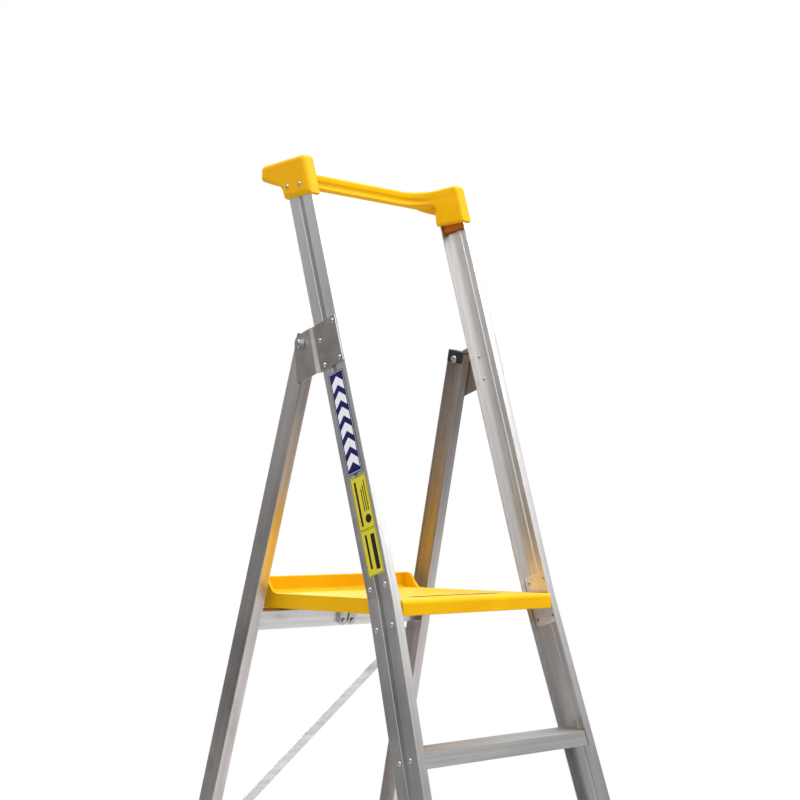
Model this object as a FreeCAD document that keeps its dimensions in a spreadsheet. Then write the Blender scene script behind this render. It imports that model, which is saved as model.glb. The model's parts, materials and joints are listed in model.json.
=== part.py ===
import FreeCAD, Part
import math
import os

import Sketcher

# Folding aluminium platform step ladder. Millimetres, +Z up, -Y is the side that is climbed.
# The origin is on the floor, midway between the front of the front feet and the back of the rear feet.

doc = FreeCAD.newDocument("platform_step_ladder")
sheet = doc.addObject("Spreadsheet::Sheet", "Dims")

DIMENSIONS = {
    # overall
    "deck_height": 1150.0,        # floor to the standing surface
    "tread_count": 3.0,           # treads below the deck, evenly spaced
    "front_lean": 16.76,          # degrees from vertical, front stiles
    "rear_lean": 15.34,           # degrees from vertical, rear legs
    "foot_wall": 3.0,
    "foot_sole": 10.0,            # floor to the end of the aluminium
    "foot_tall": 52.0,
    # front stiles: channels that open inward
    "stile_half_width": 239.5,    # centre plane to the outer face of the web, deck and above
    "stile_splay": 3.48,          # degrees outward, below the deck only
    "stile_depth": 75.0,
    "stile_flange": 20.0,
    "stile_wall": 2.2,
    "stile_corner": 3.0,
    "groove_width": 14.0,
    "groove_depth": 1.4,
    "stile_top": 932.0,           # above the deck
    "rivet_edge": 15.0,           # rivets to the nearer edge of a stile's web
    # rear legs: channels that open inward
    "leg_offset": 3.5,            # outer faces of the webs, beyond the stiles' at the pivot
    "leg_splay": 2.64,
    "leg_depth": 49.0,
    "leg_flange": 26.0,
    "leg_wall": 2.0,
    "leg_corner": 3.0,
    "leg_above_pivot": 17.0,
    "leg_cap_skirt": 24.0,
    "leg_cap_lid": 3.0,
    # leg pivot
    "pivot_up": 532.0,            # above the deck
    "pivot_behind": 204.6727,     # behind the rear of the stiles at deck height
    "pivot_bolt_radius": 5.0,
    "pivot_clearance": 0.05,
    "washer_radius": 14.0,
    "washer_thick": 2.0,
    "nut_across": 17.0,
    "nut_tall": 8.0,
    # hinge plates
    "plate_thick": 3.0,
    "plate_gap": 0.3,             # between the plate and the moving leg
    "plate_above": 22.0,          # pivot to the plate's top edge
    "plate_below": 80.0,          # pivot to the plate's bottom edge
    "plate_behind": 20.0,         # pivot to the plate's rear edge
    "plate_inset": 3.0,           # stile front to the plate's front edge
    "plate_joggle": 7.0,          # length of the bend, across the stile
    "plate_slant": 12.0,          # lower rear corner, further back than the upper one
    # treads
    "tread_tall": 30.0,
    "tread_skin": 3.0,
    "tread_rib": 1.2,
    "tread_gap": 0.3,
    "tread_ribs": 8.0,
    "tread_bracket": 3.0,
    "tread_bracket_long": 46.0,   # front to back
    "tread_bracket_leg": 24.0,    # under the tread
    "strut_drop": 120.0,          # struts under the lowest tread
    "strut_reach": 110.0,
    "strut_tab": 18.0,
    # deck
    "deck_gap": 0.5,              # to the edges of the stiles' flanges
    "deck_nose": 7.0,             # in front of the stiles at deck height
    "deck_overhang": 16.6,        # behind the middle line of the rear legs, at the upper bar
    "deck_side": 31.4,
    "deck_skin": 5.0,
    "deck_nose_radius": 9.0,
    "toe_tall": 35.0,
    "toe_thick": 9.0,
    "wing_thick": 7.0,
    "wing_long": 64.0,
    "rib_thick": 3.0,
    "rib_tall": 16.0,
    "deck_pin_back": 45.0,        # behind the front of the stiles at deck height
    "deck_pin_down": 16.0,
    "deck_pin_radius": 5.0,
    "deck_pin_clearance": 0.06,
    "deck_bracket_thick": 3.0,
    "deck_bracket_up": 51.0,
    "deck_bracket_down": 58.0,
    # rear frame bars
    "bar_tall": 45.0,
    "bar_thick": 25.0,
    "bar_wall": 2.0,
    "bar_below_deck": 60.0,       # deck surface to the centre of the upper bar
    "middle_bar": 500.0,          # floor to centre
    "lower_bar": 150.0,
    "brace_wide": 25.0,
    "brace_thick": 3.0,
    "pad_long": 40.0,             # rubber rest pads
    "pad_edge": 49.0,             # from the deck's side to a pad
    "lug_wide": 22.0,
    "lug_tall": 36.0,
    "lug_thick": 10.0,
    "lug_pitch": 26.0,
    "lug_shift": 20.0,            # centre plane to the middle of the pair
    # head moulding
    "head_wall": 7.5,             # outside the stiles' webs
    "head_roof": 13.0,            # above the ends of the stiles
    "head_tall": 91.0,
    "head_front": 5.0,            # in front of the stiles
    "head_skirt": 94.0,           # skirt, front to back
    "head_reach": 176.0,          # front of the skirt to the back of the rail
    "head_inner": 3.0,            # wall inside the stile flanges
    "rail_thick": 25.0,
    "rail_tall": 34.0,
    "rail_corner": 38.0,
    "tongue": 12.0,
    # labels and fasteners
    "label_thick": 0.3,
    "upper_label_up": 275.0,      # from deck height, along the stile
    "upper_label_long": 223.0,
    "upper_label_middle": 36.5,   # behind the stile's front
    "lower_label_up": 61.0,
    "lower_label_long": 207.0,
    "lower_label_middle": 32.2,
    "label_wide": 48.5,
    "rivet_shank": 2.4,
    "rivet_head": 4.6,
    "rivet_dome": 2.6,
}

for row, (alias, number) in enumerate(DIMENSIONS.items(), start=1):
    sheet.set(f"A{row}", alias)
    sheet.set(f"B{row}", str(number))
    sheet.setAlias(f"B{row}", alias)
doc.recompute()


class Size:
    """A number together with the sheet expression that it comes from."""

    def __init__(self, value, text):
        self.value = value
        self.text = text

    def __add__(self, other):
        other = size(other)
        return Size(self.value + other.value, f"({self.text} + {other.text})")

    def __sub__(self, other):
        other = size(other)
        return Size(self.value - other.value, f"({self.text} - {other.text})")

    def __mul__(self, other):
        other = size(other)
        return Size(self.value * other.value, f"({self.text} * {other.text})")

    def __truediv__(self, other):
        other = size(other)
        return Size(self.value / other.value, f"({self.text} / {other.text})")

    def __neg__(self):
        return Size(-self.value, f"(-1 * {self.text})")

    def __radd__(self, other):
        return size(other) + self

    def __rsub__(self, other):
        return size(other) - self

    def __rmul__(self, other):
        return size(other) * self


def size(number):
    return number if isinstance(number, Size) else Size(float(number), repr(float(number)))


def dim(alias):
    return Size(float(sheet.get(alias)), f"Dims.{alias}")


def sine(angle):
    return Size(math.sin(math.radians(angle.value)), f"sin({angle.text} * 1 deg)")


def cosine(angle):
    return Size(math.cos(math.radians(angle.value)), f"cos({angle.text} * 1 deg)")


def tangent(angle):
    return Size(math.tan(math.radians(angle.value)), f"tan({angle.text} * 1 deg)")


def bind(thing, path, amount):
    """Sets a property from the sheet."""
    thing.setExpression(path, size(amount).text)


# ---------------------------------------------------------------- lines that everything follows

P = dim("deck_height")
SIN_F = sine(dim("front_lean"))
COS_F = cosine(dim("front_lean"))
TAN_F = tangent(dim("front_lean"))
SIN_R = sine(dim("rear_lean"))
COS_R = cosine(dim("rear_lean"))
TAN_R = tangent(dim("rear_lean"))
PIVOT_Z = P + dim("pivot_up")
PIVOT_BACK = dim("pivot_behind") + dim("stile_depth") / COS_F
LEG_RUN = PIVOT_BACK + PIVOT_Z * TAN_R + dim("leg_depth") / 2.0 / COS_R
STILE_RUN = P * TAN_F
SHIFT = (LEG_RUN - STILE_RUN) / 2.0
FRONT_Y = -SHIFT                          # front of the stiles at deck height
PIVOT_Y = FRONT_Y + PIVOT_BACK
LEG_OUT = dim("stile_half_width") + dim("leg_offset")
DECK_HALF = dim("stile_half_width") - dim("stile_flange") - dim("deck_gap")
HEAD_HALF = dim("stile_half_width") + dim("head_wall")
HEAD_TOP = P + dim("stile_top") + dim("head_roof")
HEAD_LOW = HEAD_TOP - dim("head_tall")
FOOT_ROUND = 4.0                          # corner radius of the feet beside the flanges


def stile_front(z):
    """Y of the front of the stiles at height z."""
    return FRONT_Y + (z - P) * TAN_F


def stile_web(z):
    """Outer face of the stile webs at height z, from the centre plane."""
    if z.value >= P.value:
        return dim("stile_half_width")
    return dim("stile_half_width") + (P - z) * tangent(dim("stile_splay"))


def leg_middle(z):
    """Y of the middle of the rear legs at height z."""
    return PIVOT_Y + (PIVOT_Z - z) * TAN_R


def leg_web(z):
    """Outer face of the rear leg webs at height z, from the centre plane."""
    return LEG_OUT + (PIVOT_Z - z) * tangent(dim("leg_splay"))


# ---------------------------------------------------------------- drawing helpers

nodes = []


def new_body(name, y=0.0, z=0.0, lean=None, forward=True):
    """A body whose frame stands at (0, y, z), leaning with the stiles or with the rear legs."""
    body = doc.addObject("PartDesign::Body", name)
    body.Label = name
    if lean is not None:
        axis = FreeCAD.Vector(-1 if forward else 1, 0, 0)
        body.Placement = FreeCAD.Placement(FreeCAD.Vector(), FreeCAD.Rotation(axis, lean.value))
        bind(body, "Placement.Rotation.Angle", lean)
        bind(body, "Placement.Base.y", y)
        bind(body, "Placement.Base.z", z)
    nodes.append(body)
    return body


def plane_of(body, role):
    return next(f for f in body.Origin.OriginFeatures if f.Role == role)


def new_sketch(body, name, role, offset=None, lift=None, tilt=None, forward=True):
    """A sketch on one of the body's own planes, moved by offset (y, z) or lifted along its normal."""
    sketch = body.newObject("Sketcher::SketchObject", name)
    sketch.AttachmentSupport = (plane_of(body, role), "")
    sketch.MapMode = "FlatFace"
    if tilt is not None:
        axis = FreeCAD.Vector(-1 if forward else 1, 0, 0)
        turn = FreeCAD.Rotation(axis, tilt.value)
        sketch.AttachmentOffset = FreeCAD.Placement(FreeCAD.Vector(), turn)
        bind(sketch, "AttachmentOffset.Rotation.Angle", tilt)
    if offset is not None:
        bind(sketch, "AttachmentOffset.Base.y", offset[0])
        bind(sketch, "AttachmentOffset.Base.z", offset[1])
    if lift is not None:
        bind(sketch, "AttachmentOffset.Base.z", lift)
    return sketch


def fix_point(sketch, geo, pos, x, y):
    for kind, amount in (("DistanceX", x), ("DistanceY", y)):
        index = sketch.addConstraint(Sketcher.Constraint(kind, -1, 1, geo, pos, amount.value))
        if "Dims" in amount.text:
            sketch.setExpression(f"Constraints[{index}]", amount.text)


def outline(sketch, corners):
    """A closed outline. Each corner is (x, y) or (x, y, radius), with sizes or plain numbers."""
    points = [(size(c[0]), size(c[1]), size(c[2]) if len(c) > 2 else None) for c in corners]
    spots = [FreeCAD.Vector(p[0].value, p[1].value, 0) for p in points]
    count = len(points)
    trimmed = []
    for i in range(count):
        before = (spots[i - 1] - spots[i]).normalize()
        after = (spots[(i + 1) % count] - spots[i]).normalize()
        if points[i][2] is None:
            trimmed.append((spots[i], spots[i], None))
            continue
        half = before.getAngle(after) / 2
        reach = points[i][2].value / math.tan(half)
        centre = spots[i] + (before + after).normalize() * (points[i][2].value / math.sin(half))
        trimmed.append((spots[i] + before * reach, spots[i] + after * reach, centre))
    lines = []
    for i in range(count):
        start = trimmed[i][1]
        end = trimmed[(i + 1) % count][0]
        lines.append(sketch.addGeometry(Part.LineSegment(start, end), False))
    for i in range(count):
        line_in = lines[i - 1]
        line_out = lines[i]
        x, y, radius = points[i]
        if radius is None:
            sketch.addConstraint(Sketcher.Constraint("Coincident", line_in, 2, line_out, 1))
            fix_point(sketch, line_out, 1, x, y)
            continue
        start, end, centre = trimmed[i]
        bulge = (spots[i] - centre).normalize() * radius.value
        arc = sketch.addGeometry(Part.Arc(start, centre + bulge, end), False)
        at_start = sketch.getPoint(arc, 1).isEqual(start, 1e-4)
        first, last = (1, 2) if at_start else (2, 1)
        sketch.addConstraint(Sketcher.Constraint("Tangent", line_in, 2, arc, first))
        sketch.addConstraint(Sketcher.Constraint("Tangent", line_out, 1, arc, last))
        corner = sketch.addGeometry(Part.Point(spots[i]), True)
        sketch.addConstraint(Sketcher.Constraint("PointOnObject", corner, 1, line_in))
        sketch.addConstraint(Sketcher.Constraint("PointOnObject", corner, 1, line_out))
        fix_point(sketch, corner, 1, x, y)
        index = sketch.addConstraint(Sketcher.Constraint("Radius", arc, radius.value))
        if "Dims" in radius.text:
            sketch.setExpression(f"Constraints[{index}]", radius.text)
    return sketch


def rectangle(sketch, x1, x2, y1, y2):
    return outline(sketch, [(x1, y1), (x2, y1), (x2, y2), (x1, y2)])


def circle(sketch, x, y, radius):
    radius = size(radius)
    centre = FreeCAD.Vector(size(x).value, size(y).value, 0)
    geo = sketch.addGeometry(Part.Circle(centre, FreeCAD.Vector(0, 0, 1), radius.value), False)
    fix_point(sketch, geo, 3, size(x), size(y))
    index = sketch.addConstraint(Sketcher.Constraint("Radius", geo, radius.value))
    sketch.setExpression(f"Constraints[{index}]", radius.text)
    return sketch


def pad(body, sketch, length, symmetric=False, reverse=False):
    feature = body.newObject("PartDesign::Pad", sketch.Name + "_pad")
    feature.Profile = sketch
    bind(feature, "Length", length)
    feature.Midplane = symmetric
    feature.Reversed = reverse
    sketch.Visibility = False
    return feature


def pocket(body, sketch, length=None, symmetric=False, reverse=False):
    """Cuts the sketch out of the body, and makes sure that it removed something."""
    doc.recompute()
    volume = body.Shape.Volume
    feature = body.newObject("PartDesign::Pocket", sketch.Name + "_pocket")
    feature.Profile = sketch
    if length is None:
        feature.Type = "ThroughAll"
    else:
        bind(feature, "Length", length)
    feature.Midplane = symmetric
    feature.Reversed = reverse
    doc.recompute()
    if body.Shape.Volume > volume - 1e-3:
        raise RuntimeError(f"{feature.Name} removes nothing")
    return feature


def loft(body, sections, cut=False):
    kind = "PartDesign::SubtractiveLoft" if cut else "PartDesign::AdditiveLoft"
    feature = body.newObject(kind, sections[0].Name + "_loft")
    feature.Profile = sections[0]
    feature.Sections = sections[1:]
    feature.Ruled = True
    return feature


def group(name, shapes):
    """Identical separate pieces that share one node."""
    feature = doc.addObject("Part::Feature", name)
    feature.Label = name
    feature.Shape = Part.makeCompound(shapes)
    nodes.append(feature)
    return feature


SIDES = (("left", -1), ("right", 1))

# ---------------------------------------------------------------- front frame


def stile_section(body, name, side, z, corners, tilt=False):
    """A section across a stile, with its plane meeting the stile's front line at height z.

    Each corner is (inset from the web's outer face, depth behind the stile's front, radius)."""
    lean = dim("front_lean") if tilt else None
    sketch = new_sketch(body, name, "XY_Plane", offset=(stile_front(z), z), tilt=lean)
    placed = []
    for corner in corners:
        inset, depth = size(corner[0]), size(corner[1])
        across = depth if tilt else depth / COS_F
        height = z - depth * SIN_F if tilt else z
        placed.append((side * (stile_web(height) - inset), across) + tuple(corner[2:]))
    return outline(sketch, placed)


def stile_channel():
    """Corners of the stile's section: a channel with a shallow groove along the middle of its web."""
    depth, wall, flange = dim("stile_depth"), dim("stile_wall"), dim("stile_flange")
    groove, sunk = dim("groove_width"), dim("groove_depth")
    radius = dim("stile_corner")
    low, high = depth / 2.0 - groove / 2.0, depth / 2.0 + groove / 2.0
    return [
        (flange, 0.0), (0.0, 0.0, radius), (0.0, low), (sunk, low + sunk), (sunk, high - sunk),
        (0.0, high), (0.0, depth, radius), (flange, depth), (flange, depth - wall),
        (wall, depth - wall), (wall, high), (wall + sunk, high - sunk), (wall + sunk, low + sunk),
        (wall, low), (wall, wall), (flange, wall),
    ]


def stile(name, side):
    body = new_body(name)
    heights = (dim("foot_sole"), P, P + dim("stile_top"))
    corners = stile_channel()
    loft(body, [stile_section(body, f"{name}_at{i}", side, z, corners) for i, z in enumerate(heights)])


def front_foot(name, side):
    """A moulded boot: a skin round the end of the channel, and a plug between its flanges."""
    body = new_body(name)
    skin, depth, flange = dim("foot_wall"), dim("stile_depth"), dim("stile_flange")
    radius = dim("stile_corner") + skin
    boot = [(-skin, -skin * COS_F, radius), (-skin, depth + skin * COS_F, radius),
            (flange + skin, depth + skin * COS_F, FOOT_ROUND), (flange + skin, -skin * COS_F, FOOT_ROUND)]
    heights = (Size(0.0, "0.0"), dim("foot_tall"))
    loft(body, [stile_section(body, f"{name}_at{i}", side, z, boot) for i, z in enumerate(heights)])
    heights = (dim("foot_sole"), dim("foot_tall"))
    corners = stile_channel()
    socket = [stile_section(body, f"{name}_socket{i}", side, z, corners) for i, z in enumerate(heights)]
    loft(body, socket, cut=True)


def tread_height(number):
    """Standing surface of a tread, counted from the floor."""
    return P * float(number) / (dim("tread_count") + 1.0)


def tread_inside(z):
    """Half the space between the insides of the webs at height z."""
    return stile_web(z) - dim("stile_wall") - dim("groove_depth") - dim("tread_gap")


def tread(number):
    """A step with a ribbed top and two turned-down lips, seated between the flanges of both stiles."""
    name = f"tread_{number}"
    top = tread_height(number)
    body = new_body(name)
    sketch = new_sketch(body, f"{name}_side", "YZ_Plane")
    tall, skin, rib = dim("tread_tall"), dim("tread_skin"), dim("tread_rib")
    inside = (dim("stile_wall") + dim("tread_gap")) / COS_F
    long = dim("stile_depth") / COS_F - inside * 2.0
    front = stile_front(top) + inside
    back = front + long
    slip = tall * TAN_F
    rib_share = 0.6
    pitch = long / dim("tread_ribs")
    corners = [(front - slip, top - tall), (front, top)]
    for i in range(int(dim("tread_ribs").value) - 1):
        groove, crest = front + pitch * (i + rib_share), front + pitch * float(i + 1)
        corners += [(groove, top), (groove, top - rib), (crest, top - rib), (crest, top)]
    drop = skin + rib
    corners += [(back, top), (back - slip, top - tall), (back - slip - skin, top - tall),
                (back - skin - drop * TAN_F, top - drop), (front + skin - drop * TAN_F, top - drop),
                (front - slip + skin, top - tall)]
    outline(sketch, corners)
    pad(body, sketch, tread_inside(top) * 2.0, symmetric=True)


BRACKET_TALL = dim("tread_tall") - dim("tread_skin") - dim("tread_rib") - 2.0


def tread_brackets():
    """Angles under the ends of the treads, each riveted to the web beside it."""
    shapes = []
    thick, wide, leg = (dim(f"tread_bracket{part}").value for part in ("", "_long", "_leg"))
    for number in range(1, int(dim("tread_count").value) + 1):
        top = (tread_height(number) - dim("tread_skin") - dim("tread_rib")).value
        foot = top - BRACKET_TALL.value
        web = [stile_web(size(z)).value - (dim("stile_wall") + dim("groove_depth")).value for z in (top, foot)]
        front = stile_front(size(top)).value + (dim("stile_depth").value / COS_F.value - wide) / 2
        slip = BRACKET_TALL.value * TAN_F.value
        for _, side in SIDES:
            profile = [(web[0], top), (web[1], foot), (web[1] - thick, foot),
                       (web[0] - thick, top - thick), (web[0] - leg, top - thick), (web[0] - leg, top)]
            points = [FreeCAD.Vector(side * x, front + (z - top) * TAN_F.value, z) for x, z in profile]
            face = Part.Face(Part.makePolygon(points + points[:1]))
            shapes.append(face.extrude(FreeCAD.Vector(0, wide - slip, 0)))
    group("tread_brackets", shapes)


def rivet(grip, tail=True):
    """A domed rivet along +X: its head is outside x = 0, and its shank fills the grip behind."""
    radius, dome, shank = dim("rivet_head").value, dim("rivet_dome").value, dim("rivet_shank").value
    ball = (radius ** 2 + dome ** 2) / (2 * dome)
    along = FreeCAD.Vector(1, 0, 0)
    centre = FreeCAD.Vector(dome - ball, 0, 0)
    head = Part.makeSphere(ball, centre).common(
        Part.makeCylinder(radius, dome, FreeCAD.Vector(), along))
    stem = Part.makeCylinder(shank, grip, FreeCAD.Vector(-grip, 0, 0), along)
    solid = head.fuse(stem)
    if tail:
        button = Part.makeCylinder(shank * 1.5, 1.4, FreeCAD.Vector(-grip - 1.4, 0, 0), along)
        solid = solid.fuse(button)
    return solid.removeSplitter()


def placed(shape, x, y, z, side, tip=0.0):
    """A copy of a piece that points along +X, turned to face outward on one side and tipped with a splay."""
    copy = shape.copy()
    copy.rotate(FreeCAD.Vector(), FreeCAD.Vector(0, 1, 0), -tip)
    if side < 0:
        copy = copy.mirror(FreeCAD.Vector(), FreeCAD.Vector(1, 0, 0))
    copy.translate(FreeCAD.Vector(side * x, y, z))
    return copy


def stile_spot(depth, along, z):
    """(x, y, z) on the outer face of a stile's web, by depth behind its front and distance along it."""
    height = z.value + along * COS_F.value - depth * SIN_F.value
    y = stile_front(z).value + along * SIN_F.value + depth * COS_F.value
    return stile_web(size(height)).value, y, height


def tread_rivets():
    shapes = []
    grip = (dim("stile_wall") + dim("groove_depth") + dim("tread_bracket")).value
    inset = (dim("stile_depth") - dim("tread_bracket_long")).value / 2 + 7.5
    for number in range(1, int(dim("tread_count").value) + 1):
        top = tread_height(number)
        for depth in (inset, dim("stile_depth").value - inset):
            x, y, z = stile_spot(depth, -9.0, top)
            shapes += [placed(rivet(grip), x, y, z, side, dim("stile_splay").value) for _, side in SIDES]
    group("tread_rivets", shapes)


def tread_braces():
    """Flat struts from under the lowest tread down to the webs."""
    shapes = []
    top = (tread_height(1) - dim("tread_tall")).value
    drop, reach, tab = (dim(f"strut_{part}").value for part in ("drop", "reach", "tab"))
    wide, thick = dim("brace_wide").value, dim("brace_thick").value
    low = top - drop
    under = (tread_height(1) - dim("tread_skin") - dim("tread_rib")).value
    web_low, web_tab, web_top = (
        stile_web(size(z)).value - (dim("stile_wall") + dim("groove_depth")).value for z in (low, low + tab, top))
    middle = dim("stile_depth").value / COS_F.value / 2 - wide / 2
    for _, side in SIDES:
        bend = web_top - reach
        profile = [(web_low, low), (web_tab, low + tab), (bend, under), (bend - tab, under),
                   (bend - tab, under - thick), (bend - thick, under - thick),
                   (web_tab - thick, low + tab - thick), (web_low - thick, low)]
        points = [FreeCAD.Vector(side * x, stile_front(size(z)).value + middle, z) for x, z in profile]
        face = Part.Face(Part.makePolygon(points + points[:1]))
        shapes.append(face.extrude(FreeCAD.Vector(0, wide, 0)))
    group("tread_braces", shapes)


# ---------------------------------------------------------------- hinge plates and pivots

# Stile frame at pivot height: "back" is across the stile, "up" is along it.
PIVOT_ACROSS = PIVOT_BACK - dim("pivot_up") * TAN_F
PIVOT_P = PIVOT_ACROSS * COS_F
PIVOT_Q = PIVOT_ACROSS * SIN_F
LEG_SWEEP = 8.0                           # the leg's drop across the plate, from the lean between them


def plate_inside(up):
    """Inner face of a hinge plate's rear part, which stays clear of the splayed leg, by height above the pivot."""
    return LEG_OUT + dim("plate_gap") + (LEG_SWEEP - up) * tangent(dim("leg_splay"))


def hinge_plate(name, side):
    """Riveted to the stile's web, and joggled outward behind the stile so that it clears the leg."""
    body = new_body(name, y=stile_front(PIVOT_Z), z=PIVOT_Z, lean=dim("front_lean"))
    web, thick, joggle = dim("stile_half_width"), dim("plate_thick"), dim("plate_joggle")
    front, bend = dim("plate_inset"), dim("stile_depth") + 1.0
    back = PIVOT_P + dim("plate_behind") + 12.0
    low = PIVOT_Q - dim("plate_below")
    sections = []
    for edge, up in (("low", -dim("plate_below")), ("high", dim("plate_above"))):
        inside = plate_inside(up * COS_F)
        outside = inside + thick
        sketch = new_sketch(body, f"{name}_{edge}", "XY_Plane", lift=PIVOT_Q + up)
        sections.append(outline(sketch, [
            (side * web, front), (side * (web + thick), front), (side * (web + thick), bend),
            (side * outside, bend + joggle), (side * outside, back), (side * inside, back),
            (side * inside, bend + joggle + 1.0), (side * web, bend + 1.0)]))
    loft(body, sections)
    rear, top = PIVOT_P + dim("plate_behind"), PIVOT_Q + dim("plate_above")
    slant = dim("plate_slant")
    waste = new_sketch(body, f"{name}_rear", "YZ_Plane")
    outline(waste, [
        (PIVOT_P, top + 2.0), (PIVOT_P, top),
        (rear - 1.0, top, dim("plate_behind") - 1.0), (rear + slant - 0.5, low - 2.0), (back + 2.0, low - 2.0),
        (back + 2.0, top + 2.0)])
    pocket(body, waste, symmetric=True)
    hole = new_sketch(body, f"{name}_hole", "YZ_Plane")
    circle(hole, PIVOT_P, PIVOT_Q, dim("pivot_bolt_radius"))
    pocket(body, hole, symmetric=True)


def hinge_rivets():
    shapes = []
    grip = (dim("plate_thick") + dim("stile_wall")).value
    front, back = dim("rivet_edge").value - 3.0, (dim("stile_depth") - dim("rivet_edge")).value + 1.0
    high, low = PIVOT_Q.value + dim("plate_above").value, PIVOT_Q.value - dim("plate_below").value
    for depth, along in ((front, high - 10.5), (back, high - 36.5), (front, low + 9.5), (back, low + 10.5)):
        x, y, z = stile_spot(depth, along, PIVOT_Z)
        shapes += [placed(rivet(grip), x + dim("plate_thick").value, y, z, side) for _, side in SIDES]
    group("hinge_rivets", shapes)


LEG_CAP_IN = LEG_OUT - dim("leg_flange") - 2.0    # inner face of a leg's cap


def hexagon(across, thick):
    """A hexagonal nut blank along +X, standing on x = 0."""
    corner = across / math.sqrt(3)
    points = [FreeCAD.Vector(0, corner * math.cos(math.radians(60 * i)), corner * math.sin(math.radians(60 * i)))
              for i in range(7)]
    blank = Part.Face(Part.makePolygon(points)).extrude(FreeCAD.Vector(thick, 0, 0))
    cone = Part.makeCone(corner + thick * 0.7, across / 2 * 0.96, thick * 1.4,
                         FreeCAD.Vector(-thick * 0.4, 0, 0), FreeCAD.Vector(1, 0, 0))
    return blank.common(cone)


def pivot_fasteners():
    """A domed bolt from the inside of each leg, with a washer and a lock nut outside the hinge plate."""
    along = FreeCAD.Vector(1, 0, 0)
    y, z = PIVOT_Y.value, PIVOT_Z.value
    out = (plate_inside(-dim("washer_radius")) + dim("plate_thick")).value
    radius, washer, nut = (dim(alias).value for alias in ("pivot_bolt_radius", "washer_thick", "nut_tall"))
    head = radius * 0.9
    inner = LEG_CAP_IN.value - 0.5
    tip = out + washer + nut + 2.0
    bolt = Part.makeCylinder(radius, tip - inner, FreeCAD.Vector(inner, 0, 0), along)
    bolt = bolt.fuse(Part.makeCylinder(radius * 1.7, head, FreeCAD.Vector(inner - head, 0, 0), along))
    edges = [e for e in bolt.Edges if abs(e.CenterOfMass.x - (inner - head)) < 1e-6]
    bolt = bolt.makeFillet(head * 0.6, edges)
    ring = Part.makeCylinder(dim("washer_radius").value, washer, FreeCAD.Vector(out, 0, 0), along)
    ring = ring.cut(Part.makeCylinder(radius, washer, FreeCAD.Vector(out, 0, 0), along))
    nut_blank = hexagon(dim("nut_across").value, nut)
    nut_blank.translate(FreeCAD.Vector(out + washer, 0, 0))
    nut_blank = nut_blank.cut(Part.makeCylinder(radius, nut * 2, FreeCAD.Vector(out, 0, 0), along))
    for name, piece in (("pivot_bolts", bolt), ("pivot_washers", ring), ("pivot_nuts", nut_blank)):
        group(name, [placed(piece, 0.0, y, z, side) for _, side in SIDES])


# ---------------------------------------------------------------- deck brackets and pins


def deck_bracket(name, side):
    """A plate on the inside of the web, above and below the deck, that carries the deck's pivot."""
    body = new_body(name)
    inside = dim("stile_wall") + dim("groove_depth")
    thick, wall, depth = dim("deck_bracket_thick"), dim("stile_wall") + 1.0, dim("stile_depth")
    plate = [(inside, wall), (inside, depth - wall), (inside + thick, depth - wall), (inside + thick, wall)]
    up, down = dim("deck_bracket_up"), dim("deck_bracket_down")
    sections = [
        stile_section(body, f"{name}_foot", side, P - down * COS_F, plate, tilt=True),
        stile_section(body, f"{name}_middle", side, P, plate),
        stile_section(body, f"{name}_top", side, P + up * COS_F, plate, tilt=True)]
    loft(body, sections)


def deck_bracket_rivets():
    shapes = []
    grip = (dim("stile_wall") + dim("groove_depth") + dim("deck_bracket_thick")).value
    edge = dim("rivet_edge").value
    heights = (dim("deck_bracket_up").value - 13.5, 13.0 - dim("deck_bracket_down").value)
    for depth in (edge, dim("stile_depth").value - edge + 1.0):
        for along in heights:
            x, y, z = stile_spot(depth, along, P)
            tip = dim("stile_splay").value if along < 0 else 0.0
            shapes += [placed(rivet(grip), x, y, z, side, tip) for _, side in SIDES]
    group("deck_bracket_rivets", shapes)


BRACKET_FACE = dim("stile_half_width") - dim("stile_wall") - dim("groove_depth") - dim("deck_bracket_thick")
PIN_Y = FRONT_Y + dim("deck_pin_back")
PIN_Z = P - dim("deck_pin_down")


def deck_pins():
    """Pivot pins between the brackets and the deck's side walls, each with a spacer ring."""
    along = FreeCAD.Vector(1, 0, 0)
    radius, side_x, face = dim("deck_pin_radius").value, DECK_HALF.value, BRACKET_FACE.value
    gap = 0.3
    start = side_x - dim("wing_thick").value - 2.0
    pin = Part.makeCylinder(radius, face - start, FreeCAD.Vector(start, 0, 0), along)
    ring = Part.makeCylinder(radius * 1.8, face - side_x - gap, FreeCAD.Vector(side_x + gap, 0, 0), along)
    ring = ring.cut(Part.makeCylinder(radius, 40.0, FreeCAD.Vector(side_x - 5, 0, 0), along))
    group("deck_pivot_pins", [placed(pin, 0.0, PIN_Y.value, PIN_Z.value, side) for _, side in SIDES])
    group("deck_pivot_spacers", [placed(ring, 0.0, PIN_Y.value, PIN_Z.value, side) for _, side in SIDES])


# ---------------------------------------------------------------- head moulding


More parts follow.
